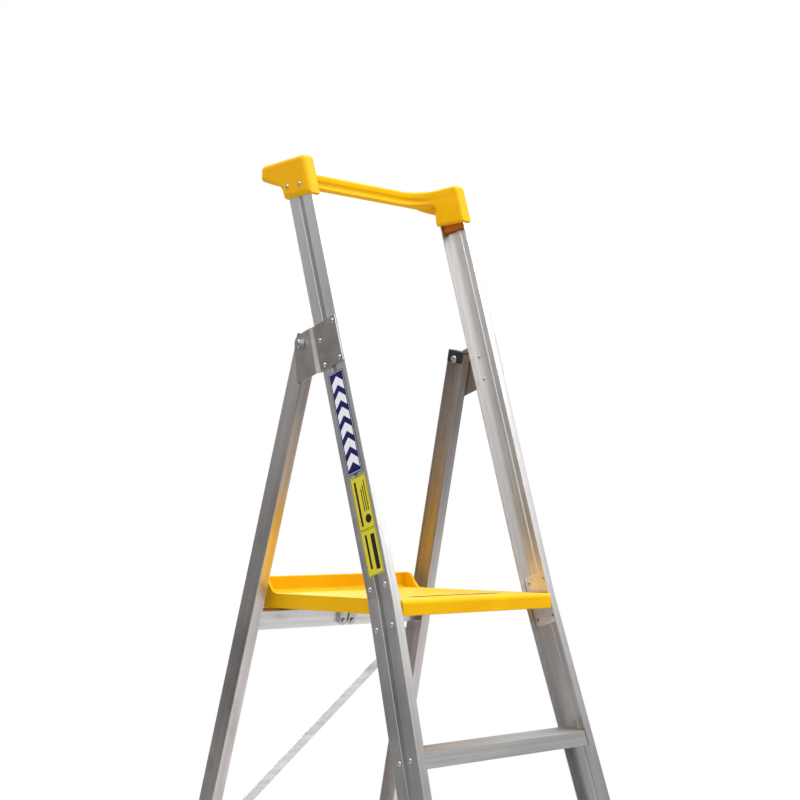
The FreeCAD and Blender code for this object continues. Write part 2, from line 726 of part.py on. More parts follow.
def head_moulding():
    """Caps on both stiles, joined behind by a handrail, in one moulding."""
    body = new_body("handrail_moulding")
    low, high = HEAD_LOW, HEAD_TOP
    front = stile_front(low) - dim("head_front")
    top_front = stile_front(high) - dim("head_front")
    back = front + dim("head_reach")
    skirt = front + dim("head_skirt")
    tip_low = high - 4.0 - dim("rail_tall")
    side_view = new_sketch(body, "head_side", "YZ_Plane")
    outline(side_view, [
        (front, low), (top_front, high, 16.0), (back, high - 4.0, 10.0), (back, tip_low, 5.0),
        (skirt + 14.0, low + 27.0, 12.0), (skirt, low, 4.0)])
    pad(body, side_view, HEAD_HALF * 2.0, symmetric=True)

    inner = dim("stile_half_width") - dim("stile_flange") - dim("head_inner")
    rail_front = back - dim("rail_thick")
    bay = new_sketch(body, "head_bay", "XY_Plane", lift=low - 10.0)
    corner = dim("rail_corner")
    outline(bay, [(-inner, front - 20.0), (inner, front - 20.0), (inner, rail_front, corner),
                  (-inner, rail_front, corner)])
    pocket(body, bay, dim("head_tall") + 20.0, reverse=True)

    heights = (low, P + dim("stile_top"))
    depth, wall, flange = dim("stile_depth"), dim("stile_wall"), dim("stile_flange")
    for name, side in SIDES:
        plug = [(wall + dim("groove_depth"), wall), (wall + dim("groove_depth"), depth - wall),
                (flange - 1.0, depth - wall), (flange - 1.0, wall)]
        tongue = [stile_section(body, f"head_tongue_{name}{i}", side, z, plug)
                  for i, z in enumerate((low - dim("tongue"), low + 2.0))]
        loft(body, tongue)
    for name, side in SIDES:
        socket = [stile_section(body, f"head_socket_{name}{i}", side, z, stile_channel())
                  for i, z in enumerate(heights)]
        loft(body, socket, cut=True)

    line = new_sketch(body, "head_line", "YZ_Plane")
    groove_z = tip_low + dim("rail_tall") * 0.62
    outline(line, [(rail_front - 3.0, groove_z - 1.6), (rail_front + 2.2, groove_z - 0.6),
                   (rail_front + 2.2, groove_z + 0.6), (rail_front - 3.0, groove_z + 1.6)])
    pocket(body, line, (inner - corner) * 2.0, symmetric=True)


def head_rivets():
    shapes = []
    grip = (dim("head_wall") + dim("stile_wall")).value
    z = HEAD_LOW + 25.0
    for depth in (26.0, dim("stile_depth").value - 8.0):
        y = stile_front(z).value + depth
        shapes += [placed(rivet(grip, tail=False), HEAD_HALF.value, y, z.value, side) for _, side in SIDES]
    group("head_rivets", shapes)


# ---------------------------------------------------------------- labels


def side_label(name, which):
    """A thin printed label on the outer face of the left stile, above the deck."""
    body = new_body(name, y=stile_front(P), z=P, lean=dim("front_lean"))
    sketch = new_sketch(body, f"{name}_edge", "YZ_Plane", lift=-dim("stile_half_width") - dim("label_thick"))
    middle, half = dim(f"{which}_label_middle"), dim("label_wide") / 2.0
    low = dim(f"{which}_label_up")
    high = low + dim(f"{which}_label_long")
    radius = 2.0
    outline(sketch, [(middle - half, low, radius), (middle + half, low, radius),
                     (middle + half, high, radius), (middle - half, high, radius)])
    pad(body, sketch, dim("label_thick"))


# ---------------------------------------------------------------- rear frame


def leg_section(body, name, side, z, corners, tilt=False):
    """A section across a rear leg, with its plane meeting the leg's middle line at height z.

    Each corner is (inset from the web's outer face, distance behind the middle line, radius)."""
    lean = dim("rear_lean") if tilt else None
    sketch = new_sketch(body, name, "XY_Plane", offset=(leg_middle(z), z), tilt=lean, forward=False)
    placed_corners = []
    for corner in corners:
        inset, depth = size(corner[0]), size(corner[1])
        across = depth if tilt else depth / COS_R
        height = z + depth * SIN_R if tilt else z
        placed_corners.append((side * (leg_web(height) - inset), across) + tuple(corner[2:]))
    return outline(sketch, placed_corners)


def leg_channel():
    half, wall, flange = dim("leg_depth") / 2.0, dim("leg_wall"), dim("leg_flange")
    radius = dim("leg_corner")
    return [(flange, -half), (0.0, -half, radius), (0.0, half, radius), (flange, half),
            (flange, half - wall), (wall, half - wall), (wall, wall - half), (flange, wall - half)]


def rear_leg(name, side):
    body = new_body(name)
    top = PIVOT_Z + dim("leg_above_pivot") * COS_R
    foot = leg_section(body, f"{name}_foot", side, dim("foot_sole"), leg_channel())
    head = leg_section(body, f"{name}_head", side, top, leg_channel(), tilt=True)
    loft(body, [foot, head])
    hole = new_sketch(body, f"{name}_hole", "YZ_Plane")
    circle(hole, PIVOT_Y, PIVOT_Z, dim("pivot_bolt_radius") + dim("pivot_clearance"))
    pocket(body, hole, symmetric=True)


def rear_foot(name, side):
    body = new_body(name)
    skin, half, flange = dim("foot_wall"), dim("leg_depth") / 2.0, dim("leg_flange")
    radius = dim("leg_corner") + skin
    edge = half + skin * COS_R
    boot = [(-skin, -edge, radius), (-skin, edge, radius), (flange + skin, edge, FOOT_ROUND),
            (flange + skin, -edge, FOOT_ROUND)]
    heights = (Size(0.0, "0.0"), dim("foot_tall"))
    loft(body, [leg_section(body, f"{name}_at{i}", side, z, boot) for i, z in enumerate(heights)])
    heights = (dim("foot_sole"), dim("foot_tall"))
    socket = [leg_section(body, f"{name}_socket{i}", side, z, leg_channel()) for i, z in enumerate(heights)]
    loft(body, socket, cut=True)


def leg_cap(name, side):
    """A black plug with a lid, in the top of a rear leg."""
    body = new_body(name)
    half, flange = dim("leg_depth") / 2.0, dim("leg_flange") + 2.0
    end = PIVOT_Z + dim("leg_above_pivot") * COS_R
    low = end - dim("leg_cap_skirt") * COS_R
    lid = end + dim("leg_cap_lid") * COS_R
    block = [(0.0, -half, 2.0), (0.0, half, 2.0), (flange, half, 2.0), (flange, -half, 2.0)]
    loft(body, [leg_section(body, f"{name}_low", side, low, block, tilt=True),
                leg_section(body, f"{name}_lid", side, lid, block, tilt=True)])
    below = low - 4.0
    envelope = leg_channel()
    loft(body, [leg_section(body, f"{name}_cut0", side, below, envelope, tilt=True),
                leg_section(body, f"{name}_cut1", side, end, envelope, tilt=True)], cut=True)
    hole = new_sketch(body, f"{name}_hole", "YZ_Plane")
    circle(hole, PIVOT_Y, PIVOT_Z, dim("pivot_bolt_radius") + dim("pivot_clearance"))
    pocket(body, hole, symmetric=True)


def leg_inside(z):
    """Half the space between the insides of the leg webs at height z."""
    return leg_web(z) - dim("leg_wall") - 0.3


BAR_BACK = dim("leg_depth") / 2.0 - dim("leg_wall")
BARS = (("rear_bar_upper", P - dim("bar_below_deck")), ("rear_bar_middle", dim("middle_bar")),
        ("rear_bar_lower", dim("lower_bar")))


def rear_bar(name, z):
    """A rectangular tube between the legs, against the inside of their rear flanges."""
    body = new_body(name, y=leg_middle(z), z=z, lean=dim("rear_lean"), forward=False)
    tall, thick, wall = dim("bar_tall"), dim("bar_thick"), dim("bar_wall")
    front, half = BAR_BACK - thick, tall / 2.0
    length = leg_inside(z + half) * 2.0
    outer = new_sketch(body, f"{name}_outside", "YZ_Plane")
    outline(outer, [(front, -half, 2.5), (BAR_BACK, -half, 2.5), (BAR_BACK, half, 2.5), (front, half, 2.5)])
    pad(body, outer, length, symmetric=True)
    inner = new_sketch(body, f"{name}_inside", "YZ_Plane")
    rectangle(inner, front + wall, BAR_BACK - wall, wall - half, half - wall)
    pocket(body, inner, symmetric=True)


def leg_spot(side, x, behind, along, z):
    """(x, y, z) in the rear frame, by distance behind the middle line and along the leg from height z."""
    y = leg_middle(z).value - along * SIN_R.value + behind * COS_R.value
    return FreeCAD.Vector(side * x, y, z.value + along * COS_R.value + behind * SIN_R.value)


def rearward(shape, spot):
    """A copy of a piece that points along +X, turned to point out of the back of the rear frame."""
    copy = shape.copy()
    copy.rotate(FreeCAD.Vector(), FreeCAD.Vector(0, 0, 1), 90)
    copy.rotate(FreeCAD.Vector(), FreeCAD.Vector(1, 0, 0), dim("rear_lean").value)
    copy.translate(spot)
    return copy


def bar_rivets():
    shapes = []
    grip = (dim("leg_wall") + dim("bar_wall")).value
    behind = dim("leg_depth").value / 2
    for _, z in BARS:
        x = leg_web(z).value - dim("leg_flange").value * 0.55
        for along in (-12.0, 12.0):
            shapes += [rearward(rivet(grip), leg_spot(side, x, behind, along, z)) for _, side in SIDES]
    group("rear_bar_rivets", shapes)


def braces():
    """Two flat diagonals across the back of the legs, in a zigzag between the bars."""
    behind = (dim("leg_depth") / 2.0).value
    wide, thick = dim("brace_wide").value, dim("brace_thick").value
    clear = dim("bar_tall").value / 2 + wide
    levels = [z.value for _, z in BARS]
    runs = ((1, levels[0] - clear, -1, levels[1] + clear), (-1, levels[1] - clear, 1, levels[2] + clear))
    strips, rivets = [], []
    grip = thick + dim("leg_wall").value
    for side_high, high, side_low, low in runs:
        ends = []
        for side, z in ((side_high, high), (side_low, low)):
            x = leg_web(size(z)).value - dim("leg_flange").value * 0.5
            ends.append(leg_spot(side, x, behind, 0.0, size(z)))
        along = (ends[1] - ends[0]).normalize()
        out = FreeCAD.Vector(0, COS_R.value, SIN_R.value)
        across = along.cross(out) * (wide / 2)
        first, last = ends[0] - along * 10, ends[1] + along * 10
        points = [first - across, first + across, last + across, last - across]
        face = Part.Face(Part.makePolygon(points + points[:1]))
        strips.append(face.extrude(out * thick))
        rivets += [rearward(rivet(grip), spot + out * thick) for spot in ends]
    group("rear_braces", strips)
    group("rear_brace_rivets", rivets)


# ---------------------------------------------------------------- deck


def deck():
    """The moulded standing surface: a skirted tray with a toe board and a curved wing at each side."""
    body = new_body("deck")
    half, side, skin = DECK_HALF, dim("deck_side"), dim("deck_skin")
    front = FRONT_Y - dim("deck_nose")
    back = leg_middle(BARS[0][1]) + dim("deck_overhang")
    toe, tall = dim("toe_thick"), dim("toe_tall")
    profile = new_sketch(body, "deck_side_view", "YZ_Plane")
    outline(profile, [
        (front, P - side, 1.5), (front, P, dim("deck_nose_radius")), (back - toe, P, 8.0),
        (back - toe, P + tall, 2.5), (back, P + tall, 2.5), (back, P - side, 1.5)])
    pad(body, profile, half * 2.0, symmetric=True)

    wing, long = dim("wing_thick"), dim("wing_long")
    for name, sign in SIDES:
        start = back - toe - long
        sketch = new_sketch(body, f"deck_wing_{name}", "YZ_Plane", lift=half - wing if sign > 0 else -half)
        outline(sketch, [
            (start, P - 1.0), (start, P), (start + long * 0.3, P + 1.0, 20.0),
            (start + long * 0.72, P + tall, 16.0), (back - toe / 2.0, P + tall), (back - toe / 2.0, P - 1.0)])
        pad(body, sketch, wing)

    under = new_sketch(body, "deck_under", "XY_Plane", lift=P - side)
    rectangle(under, skin - half, half - skin, front + skin, back - skin)
    pocket(body, under, side - skin, reverse=True)

    ribs = new_sketch(body, "deck_ribs", "XY_Plane", lift=P - skin - dim("rib_tall"))
    rib = dim("rib_thick")
    step = (half * 2.0) / 5.0
    for i in range(4):
        x = step * (i + 1) - half
        rectangle(ribs, x - rib / 2.0, x + rib / 2.0, front + skin, back - skin)
    pad(body, ribs, dim("rib_tall"))
    cross_ribs = new_sketch(body, "deck_cross_ribs", "XY_Plane", lift=P - skin - dim("rib_tall"))
    pitch = (back - front) / 4.0
    for i in range(3):
        y = front + pitch * (i + 1)
        rectangle(cross_ribs, skin - half, half - skin, y - rib / 2.0, y + rib / 2.0)
    pad(body, cross_ribs, dim("rib_tall"))

    boss_radius = dim("deck_pin_radius") + 5.0
    for name, sign in SIDES:
        lift = half - skin - 8.0 if sign > 0 else -half + skin - 1.0
        boss = new_sketch(body, f"deck_boss_{name}", "YZ_Plane", lift=lift)
        circle(boss, PIN_Y, PIN_Z, boss_radius)
        pad(body, boss, 9.0)
    hole = new_sketch(body, "deck_pin_holes", "YZ_Plane")
    circle(hole, PIN_Y, PIN_Z, dim("deck_pin_radius") + dim("deck_pin_clearance"))
    pocket(body, hole, symmetric=True)


def rest_pads():
    """Rubber wedges on the upper bar that the deck sits on."""
    z = BARS[0][1]
    body = new_body("deck_rest_pads", y=leg_middle(z), z=z, lean=dim("rear_lean"), forward=False)
    top, clear = dim("bar_tall") / 2.0, 0.3
    face = P - dim("deck_side") - clear - z
    front = BAR_BACK - dim("bar_thick") + 3.0
    back = BAR_BACK - 7.0
    long, reach = dim("pad_long"), DECK_HALF - dim("pad_edge")
    for name, start in (("left", -reach), ("right", reach - long)):
        sketch = new_sketch(body, f"rest_pad_{name}", "YZ_Plane", lift=start)
        outline(sketch, [(front, top), (back, top), (back, (face - back * SIN_R) / COS_R),
                         (front, (face - front * SIN_R) / COS_R)])
        pad(body, sketch, long)


def rest_lugs():
    """Two rounded lugs bolted side by side to the middle of the upper bar."""
    z = BARS[0][1]
    front = (BAR_BACK - dim("bar_thick")).value
    lugs, bolts = [], []
    wide, tall, thick, pitch, shift = (
        dim(f"lug_{part}").value for part in ("wide", "tall", "thick", "pitch", "shift"))
    radius = wide / 2
    out = FreeCAD.Vector(0, -COS_R.value, -SIN_R.value)
    for x in (shift - pitch / 2, shift + pitch / 2):
        corners = [(-radius, tall / 2), (-radius, radius - tall / 2), (radius, radius - tall / 2), (radius, tall / 2)]
        spots = [leg_spot(1, x + dx, front, dz, z) for dx, dz in corners]
        low = leg_spot(1, x, front, -tall / 2, z)
        edges = [Part.makeLine(spots[0], spots[1]), Part.Arc(spots[1], low, spots[2]).toShape(),
                 Part.makeLine(spots[2], spots[3]), Part.makeLine(spots[3], spots[0])]
        lugs.append(Part.Face(Part.Wire(edges)).extrude(out * thick))
        head = hexagon(10.0, 4.0)
        head.rotate(FreeCAD.Vector(), FreeCAD.Vector(0, 0, 1), -90)
        head.rotate(FreeCAD.Vector(), FreeCAD.Vector(1, 0, 0), dim("rear_lean").value)
        head.translate(leg_spot(1, x, front, radius - tall / 2, z) + out * thick)
        bolts.append(head)
    group("deck_rest_lugs", lugs)
    group("deck_rest_bolts", bolts)


# ---------------------------------------------------------------- the ladder

for word, sign in SIDES:
    stile(f"{word}_stile", sign)
    front_foot(f"{word}_front_foot", sign)
    hinge_plate(f"{word}_hinge_plate", sign)
    deck_bracket(f"{word}_deck_bracket", sign)
    rear_leg(f"{word}_rear_leg", sign)
    rear_foot(f"{word}_rear_foot", sign)
    leg_cap(f"{word}_leg_cap", sign)
for step in range(1, int(dim("tread_count").value) + 1):
    tread(step)
tread_brackets()
tread_rivets()
tread_braces()
hinge_rivets()
pivot_fasteners()
deck_bracket_rivets()
deck_pins()
head_moulding()
head_rivets()
side_label("side_label_upper", "upper")
side_label("side_label_lower", "lower")
for bar_name, bar_z in BARS:
    rear_bar(bar_name, bar_z)
bar_rivets()
braces()
deck()
rest_pads()
rest_lugs()
doc.recompute()

for thing in doc.Objects:
    if "Invalid" in thing.State or "Error" in thing.State:
        raise RuntimeError(f"{thing.Name} failed: {thing.State}")
for node in nodes:
    if node.Shape.isNull() or not node.Shape.isValid() or not node.Shape.Solids:
        raise RuntimeError(f"{node.Label} has no valid solid")

os.makedirs("parts", exist_ok=True)
for node in nodes:
    node.Shape.exportStep(os.path.join("parts", node.Label + ".step"))
    box = node.Shape.BoundBox
    print(f"{node.Label:22s} solids {len(node.Shape.Solids):2d}  x {box.XMin:8.1f} {box.XMax:8.1f}"
          f"  y {box.YMin:8.1f} {box.YMax:8.1f}  z {box.ZMin:8.1f} {box.ZMax:8.1f}")
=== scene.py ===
import json
import math

import bmesh
import bpy
import numpy
from mathutils import Matrix, Vector


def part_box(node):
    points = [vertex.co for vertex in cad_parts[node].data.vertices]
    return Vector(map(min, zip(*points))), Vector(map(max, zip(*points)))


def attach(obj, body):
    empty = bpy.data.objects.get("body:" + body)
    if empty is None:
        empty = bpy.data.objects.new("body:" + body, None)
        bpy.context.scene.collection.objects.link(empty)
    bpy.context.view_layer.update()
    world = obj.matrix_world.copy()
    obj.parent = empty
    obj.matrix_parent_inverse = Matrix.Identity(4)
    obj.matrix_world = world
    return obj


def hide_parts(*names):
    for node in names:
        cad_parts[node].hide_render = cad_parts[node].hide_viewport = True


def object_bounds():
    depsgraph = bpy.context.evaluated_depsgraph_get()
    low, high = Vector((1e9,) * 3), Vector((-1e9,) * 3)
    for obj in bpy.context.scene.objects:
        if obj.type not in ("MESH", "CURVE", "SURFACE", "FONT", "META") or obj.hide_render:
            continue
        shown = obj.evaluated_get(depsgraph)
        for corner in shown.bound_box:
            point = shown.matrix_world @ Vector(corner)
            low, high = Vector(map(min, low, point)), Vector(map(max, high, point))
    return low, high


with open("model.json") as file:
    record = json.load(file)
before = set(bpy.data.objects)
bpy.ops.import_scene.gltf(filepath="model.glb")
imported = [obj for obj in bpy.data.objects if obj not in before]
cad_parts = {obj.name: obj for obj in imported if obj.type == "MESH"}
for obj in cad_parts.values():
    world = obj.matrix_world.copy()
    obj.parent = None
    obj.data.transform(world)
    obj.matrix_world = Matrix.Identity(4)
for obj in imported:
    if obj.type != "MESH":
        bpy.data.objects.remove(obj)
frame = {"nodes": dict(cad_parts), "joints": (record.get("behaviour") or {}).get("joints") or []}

# The looks of a folding aluminium platform step ladder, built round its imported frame.
# Metres, +Z up, -Y is the side that is climbed.

CAD_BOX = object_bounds()
MM = 0.001

# ---------------------------------------------------------------- places, worked out from the frame

# Angles and section sizes of the CAD model, which its boxes don't give.
FRONT_LEAN = math.radians(16.76)
REAR_LEAN = math.radians(15.34)
FRONT_SPLAY = math.radians(3.48)
REAR_SPLAY = math.radians(2.64)
STILE_DEPTH = 75 * MM
STILE_FLANGE = 20 * MM
STILE_GROOVE = 14 * MM
DECK_NOSE = 7 * MM
TOE_TALL = 35 * MM

DECK_LOW, DECK_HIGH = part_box("deck")
DECK_Z = DECK_HIGH.z - TOE_TALL
FRONT_Y = DECK_LOW.y + DECK_NOSE
STILE_HALF = -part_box("side_label_upper")[1].x    # half the width over the stiles' webs, above the deck
PIVOT = next(Vector(j["pos_m"]) for j in frame["joints"] if j["name"] == "rear_fold")


def front_point(x, across, along):
    """A point in the stiles' own frame: across is back from their front, along is up from deck height."""
    y = FRONT_Y + across * math.cos(FRONT_LEAN) + along * math.sin(FRONT_LEAN)
    z = DECK_Z - across * math.sin(FRONT_LEAN) + along * math.cos(FRONT_LEAN)
    return Vector((x, y, z))


# ---------------------------------------------------------------- shader helpers


class Shader:
    """A Principled material whose patterns are written as short formulas."""

    def __init__(self, name, color, metallic=0.0, roughness=0.5):
        self.material = bpy.data.materials.new(name)
        self.material.use_nodes = True
        self.tree = self.material.node_tree
        self.surface = self.tree.nodes["Principled BSDF"]
        self.surface.inputs["Base Color"].default_value = (*color, 1)
        self.surface.inputs["Metallic"].default_value = metallic
        self.surface.inputs["Roughness"].default_value = roughness
        self.material.diffuse_color = (*color, 1)
        coordinates = self.tree.nodes.new("ShaderNodeTexCoord")
        self.place = coordinates.outputs["Object"]

    def link(self, source, target):
        """Joins a socket to the target, or sets a plain value on it."""
        if isinstance(source, bpy.types.NodeSocket):
            self.tree.links.new(source, target)
        else:
            target.default_value = source

    def math(self, operation, first, second=0.0):
        node = self.tree.nodes.new("ShaderNodeMath")
        node.operation = operation
        for socket, value in zip(node.inputs, (first, second)):
            self.link(value, socket)
        return node.outputs[0]

    def along(self, direction, offset=0.0):
        """Distance along a direction, from the plane that is offset from the origin."""
        node = self.tree.nodes.new("ShaderNodeVectorMath")
        node.operation = "DOT_PRODUCT"
        self.link(self.place, node.inputs[0])
        node.inputs[1].default_value = direction
        return self.math("SUBTRACT", node.outputs["Value"], offset)

    def vector(self, x, y, z):
        node = self.tree.nodes.new("ShaderNodeCombineXYZ")
        for socket, value in zip(node.inputs, (x, y, z)):
            self.link(value, socket)
        return node.outputs[0]

    def noise(self, where, scale, detail, rough):
        node = self.tree.nodes.new("ShaderNodeTexNoise")
        self.link(where, node.inputs["Vector"])
        node.inputs["Scale"].default_value = scale
        node.inputs["Detail"].default_value = detail
        node.inputs["Roughness"].default_value = rough
        return node.outputs["Fac"]

    def cells(self, where, scale):
        """Distance to the nearest of scattered points, for pebbled or dinged surfaces."""
        node = self.tree.nodes.new("ShaderNodeTexVoronoi")
        self.link(where, node.inputs["Vector"])
        node.inputs["Scale"].default_value = scale
        return node.outputs["Distance"]

    def span(self, value, low, high, to_low=0.0, to_high=1.0):
        """Value carried smoothly from low..high to to_low..to_high, and held beyond them."""
        node = self.tree.nodes.new("ShaderNodeMapRange")
        node.interpolation_type = "SMOOTHSTEP"
        self.link(value, node.inputs["Value"])
        node.inputs["From Min"].default_value = low
        node.inputs["From Max"].default_value = high
        node.inputs["To Min"].default_value = to_low
        node.inputs["To Max"].default_value = to_high
        return node.outputs["Result"]

    def blend(self, share, first, second):
        node = self.tree.nodes.new("ShaderNodeMix")
        node.data_type = "RGBA"
        self.link(share, node.inputs["Factor"])
        self.link(first if isinstance(first, bpy.types.NodeSocket) else (*first, 1), node.inputs["A"])
        self.link(second if isinstance(second, bpy.types.NodeSocket) else (*second, 1), node.inputs["B"])
        return node.outputs["Result"]

    def color(self, source):
        self.link(source, self.surface.inputs["Base Color"])

    def roughness(self, source):
        self.link(source, self.surface.inputs["Roughness"])

    def bump(self, height, distance, strength):
        node = self.tree.nodes.new("ShaderNodeBump")
        node.inputs["Distance"].default_value = distance
        node.inputs["Strength"].default_value = strength
        self.link(height, node.inputs["Height"])
        self.link(node.outputs["Normal"], self.surface.inputs["Normal"])


DIE_LINE_DEEP = 0.06 * MM


def shade(color, amount):
    """A colour made darker, or lighter where amount is over 1."""
    return tuple(c * amount for c in color)


# ---------------------------------------------------------------- metals


def extrusion(name, color, lean, splay, middle, rear=False, groove=0.0, grime=0.25):
    """Mill-finish aluminium: die lines, handling marks and a slight oxide bloom along a leaning member.

    middle is a point on the member's middle line. groove is the width of the band along its outer face:
    a member that has one gets painted shade on that face, deeper painted shade in the band, and
    painted shade that deepens down from the deck.
    """
    s = Shader(name, color, metallic=1.0, roughness=0.36)
    turn = -lean if rear else lean
    cos, sin = math.cos(turn), math.sin(turn)
    across = s.along((0, cos, -sin), middle.y * cos - middle.z * sin)
    along = s.along((0, sin, cos), middle.y * sin + middle.z * cos)
    out = s.math("ABSOLUTE", s.along((1, 0, 0)))
    splayed = along if rear else s.math("MINIMUM", along, 0.0)
    inset = s.math("ADD", out, s.math("MULTIPLY", splayed, math.tan(splay)))
    fine = s.noise(s.vector(across, inset, s.math("MULTIPLY", along, 0.004)), 900.0, 4.0, 0.65)
    broad = s.noise(s.vector(across, inset, s.math("MULTIPLY", along, 0.02)), 90.0, 3.0, 0.55)
    bloom = s.noise(s.place, 7.0, 4.0, 0.6)
    smudge = s.noise(s.vector(across, inset, s.math("MULTIPLY", along, 0.35)), 24.0, 5.0, 0.65)
    tone = s.blend(s.span(broad, 0.35, 0.65), shade(color, 0.90), shade(color, 1.04))
    tone = s.blend(s.math("MULTIPLY", s.span(smudge, 0.52, 0.75), grime), tone, shade(color, 0.55))
    if groove:
        skin_from, skin_to = STILE_HALF - 1.9 * MM, STILE_HALF - 1.7 * MM
        shaded_below, unshaded_above = -0.55, 0.20
        outer = s.span(inset, skin_from, skin_to)
        band = s.span(s.math("ABSOLUTE", across), groove * 0.36, groove * 0.62, 0.75, 0.0)
        # Painted shade: the outer face is made a little darker than the inner face.
        tone = s.blend(s.math("MULTIPLY", outer, 0.5), tone, shade(color, 0.80))
        # Painted shade for the groove: the band down the middle of the outer face is made much darker.
        tone = s.blend(s.math("MULTIPLY", band, outer), tone, shade(color, 0.42))
        # Painted shade that deepens down the stile, from 0.2 m above the deck to 0.55 m below it.
        tone = s.blend(s.span(along, shaded_below, unshaded_above, 0.75, 0.0), tone, shade(color, 0.45))
    s.color(tone)
    s.roughness(s.math("ADD", s.span(fine, 0.3, 0.7, 0.30, 0.44), s.span(bloom, 0.3, 0.7, -0.03, 0.06)))
    s.bump(s.math("ADD", fine, s.math("MULTIPLY", broad, 0.6)), DIE_LINE_DEEP, 0.55)
    return s.material


def sheet_metal(name, color, lean):
    """Rolled and sheared aluminium sheet: faint rolling grain, small dings and a duller face."""
    s = Shader(name, color, metallic=1.0, roughness=0.42)
    across = s.along((0, math.cos(lean), -math.sin(lean)))
    along = s.along((0, math.sin(lean), math.cos(lean)))
    out = s.along((1, 0, 0))
    roll = s.noise(s.vector(s.math("MULTIPLY", across, 0.03), out, along), 700.0, 4.0, 0.6)
    cloud = s.noise(s.place, 30.0, 4.0, 0.6)
    dings = s.cells(s.place, 160.0)
    s.color(s.blend(s.span(cloud, 0.3, 0.7), shade(color, 0.84), shade(color, 1.03)))
    s.roughness(s.math("ADD", s.span(roll, 0.3, 0.7, 0.34, 0.48), s.span(cloud, 0.4, 0.8, 0.0, 0.08)))
    s.bump(s.math("ADD", s.math("MULTIPLY", roll, 0.30), s.span(dings, 0.0, 0.12)), 0.05 * MM, 0.5)
    return s.material


def cross_extrusion(name, color, wear=0.0):
    """Extruded aluminium that runs from side to side: die lines along X, and scuffs where feet land."""
    s = Shader(name, color, metallic=1.0, roughness=0.38)
    x, y, z = (s.along(d) for d in ((1, 0, 0), (0, 1, 0), (0, 0, 1)))
    fine = s.noise(s.vector(s.math("MULTIPLY", x, 0.004), y, z), 900.0, 4.0, 0.65)
    broad = s.noise(s.vector(s.math("MULTIPLY", x, 0.03), y, z), 120.0, 3.0, 0.5)
    scuff = s.noise(s.vector(s.math("MULTIPLY", x, 0.5), y, z), 38.0, 5.0, 0.6)
    tone = s.blend(s.span(broad, 0.35, 0.65), shade(color, 0.90), shade(color, 1.04))
    tone = s.blend(s.math("MULTIPLY", s.span(scuff, 0.5, 0.72), 0.22 + wear), tone, shade(color, 0.5))
    s.color(tone)
    duller = s.span(scuff, 0.45, 0.75, 0.0, 0.10 + wear * 0.3)
    s.roughness(s.math("ADD", s.span(fine, 0.3, 0.7, 0.30, 0.44), duller))
    s.bump(s.math("ADD", fine, s.math("MULTIPLY", broad, 0.5)), DIE_LINE_DEEP, 0.55)
    return s.material


def small_metal(name, color, roughness):
    """Turned, stamped or plated fasteners, with faint pitting and uneven plating."""
    s = Shader(name, color, metallic=1.0, roughness=roughness)
    pits = s.noise(s.place, 900.0, 3.0, 0.6)
    patch = s.noise(s.place, 140.0, 3.0, 0.6)
    s.color(s.blend(s.span(patch, 0.3, 0.7), shade(color, 0.80), shade(color, 1.06)))
    s.roughness(s.span(pits, 0.3, 0.7, roughness - 0.06, roughness + 0.10))
    s.bump(pits, 0.04 * MM, 0.5)
    return s.material


# ---------------------------------------------------------------- plastics and rubber


def moulding(name, color, deep, grain, scuffs=0.0):
    """Moulded polypropylene: a fine grain, slow flow marks from color to the deeper tone, and light scuffs."""
    s = Shader(name, color, roughness=0.40)
    s.surface.inputs["Specular IOR Level"].default_value = 0.12
    s.surface.inputs["Subsurface Weight"].default_value = 0.06
    s.surface.inputs["Subsurface Radius"].default_value = (0.004, 0.002, 0.0006)
    flow = s.noise(s.place, 9.0, 3.0, 0.5)
    speck = s.noise(s.place, 1800.0, 2.0, 0.5)
    pebble = s.cells(s.place, grain)
    stroke = s.vector(s.along((0.9, 0.3, 0.2)), s.math("MULTIPLY", s.along((-0.3, 0.9, 0)), 14.0),
                      s.along((0, 0, 1)))
    marks = s.noise(stroke, 36.0, 6.0, 0.7)
    tone = s.blend(s.span(flow, 0.3, 0.7), deep, color)
    tone = s.blend(s.math("MULTIPLY", s.span(marks, 0.60, 0.78), scuffs), tone, shade(color, 0.72))
    s.color(tone)
    s.roughness(s.math("ADD", s.span(speck, 0.3, 0.7, 0.40, 0.52), s.span(marks, 0.55, 0.8, 0.0, 0.12)))
    s.bump(s.math("ADD", s.span(pebble, 0.0, 0.6), s.math("MULTIPLY", speck, 0.5)), 0.06 * MM, 0.45)
    return s.material


def dull_plastic(name, color, roughness, grain=1400.0):
    """Matt black plastic or rubber with a little dust on it."""
    s = Shader(name, color, roughness=roughness)
    fine = s.cells(s.place, grain)
    dust = s.noise(s.place, 60.0, 5.0, 0.65)
    s.color(s.blend(s.span(dust, 0.45, 0.75), color, tuple(c + 0.03 for c in color)))
    s.roughness(s.span(dust, 0.3, 0.7, roughness - 0.05, roughness + 0.10))
    s.bump(s.span(fine, 0.0, 0.5), 0.08 * MM, 0.5)
    return s.material


def vinyl(name, color):
    """Printed label film: nearly even ink under a satin laminate, with faint dust."""
    s = Shader(name, color, roughness=0.34)
    s.surface.inputs["Specular IOR Level"].default_value = 0.30
    ink = s.noise(s.place, 300.0, 3.0, 0.6)
    s.color(s.blend(s.span(ink, 0.3, 0.7), shade(color, 0.94), shade(color, 1.04)))
    s.roughness(s.span(ink, 0.3, 0.7, 0.30, 0.40))
    s.bump(ink, 0.02 * MM, 0.3)
    return s.material


STILE_MIDDLE = front_point(0, STILE_DEPTH / 2, 0)

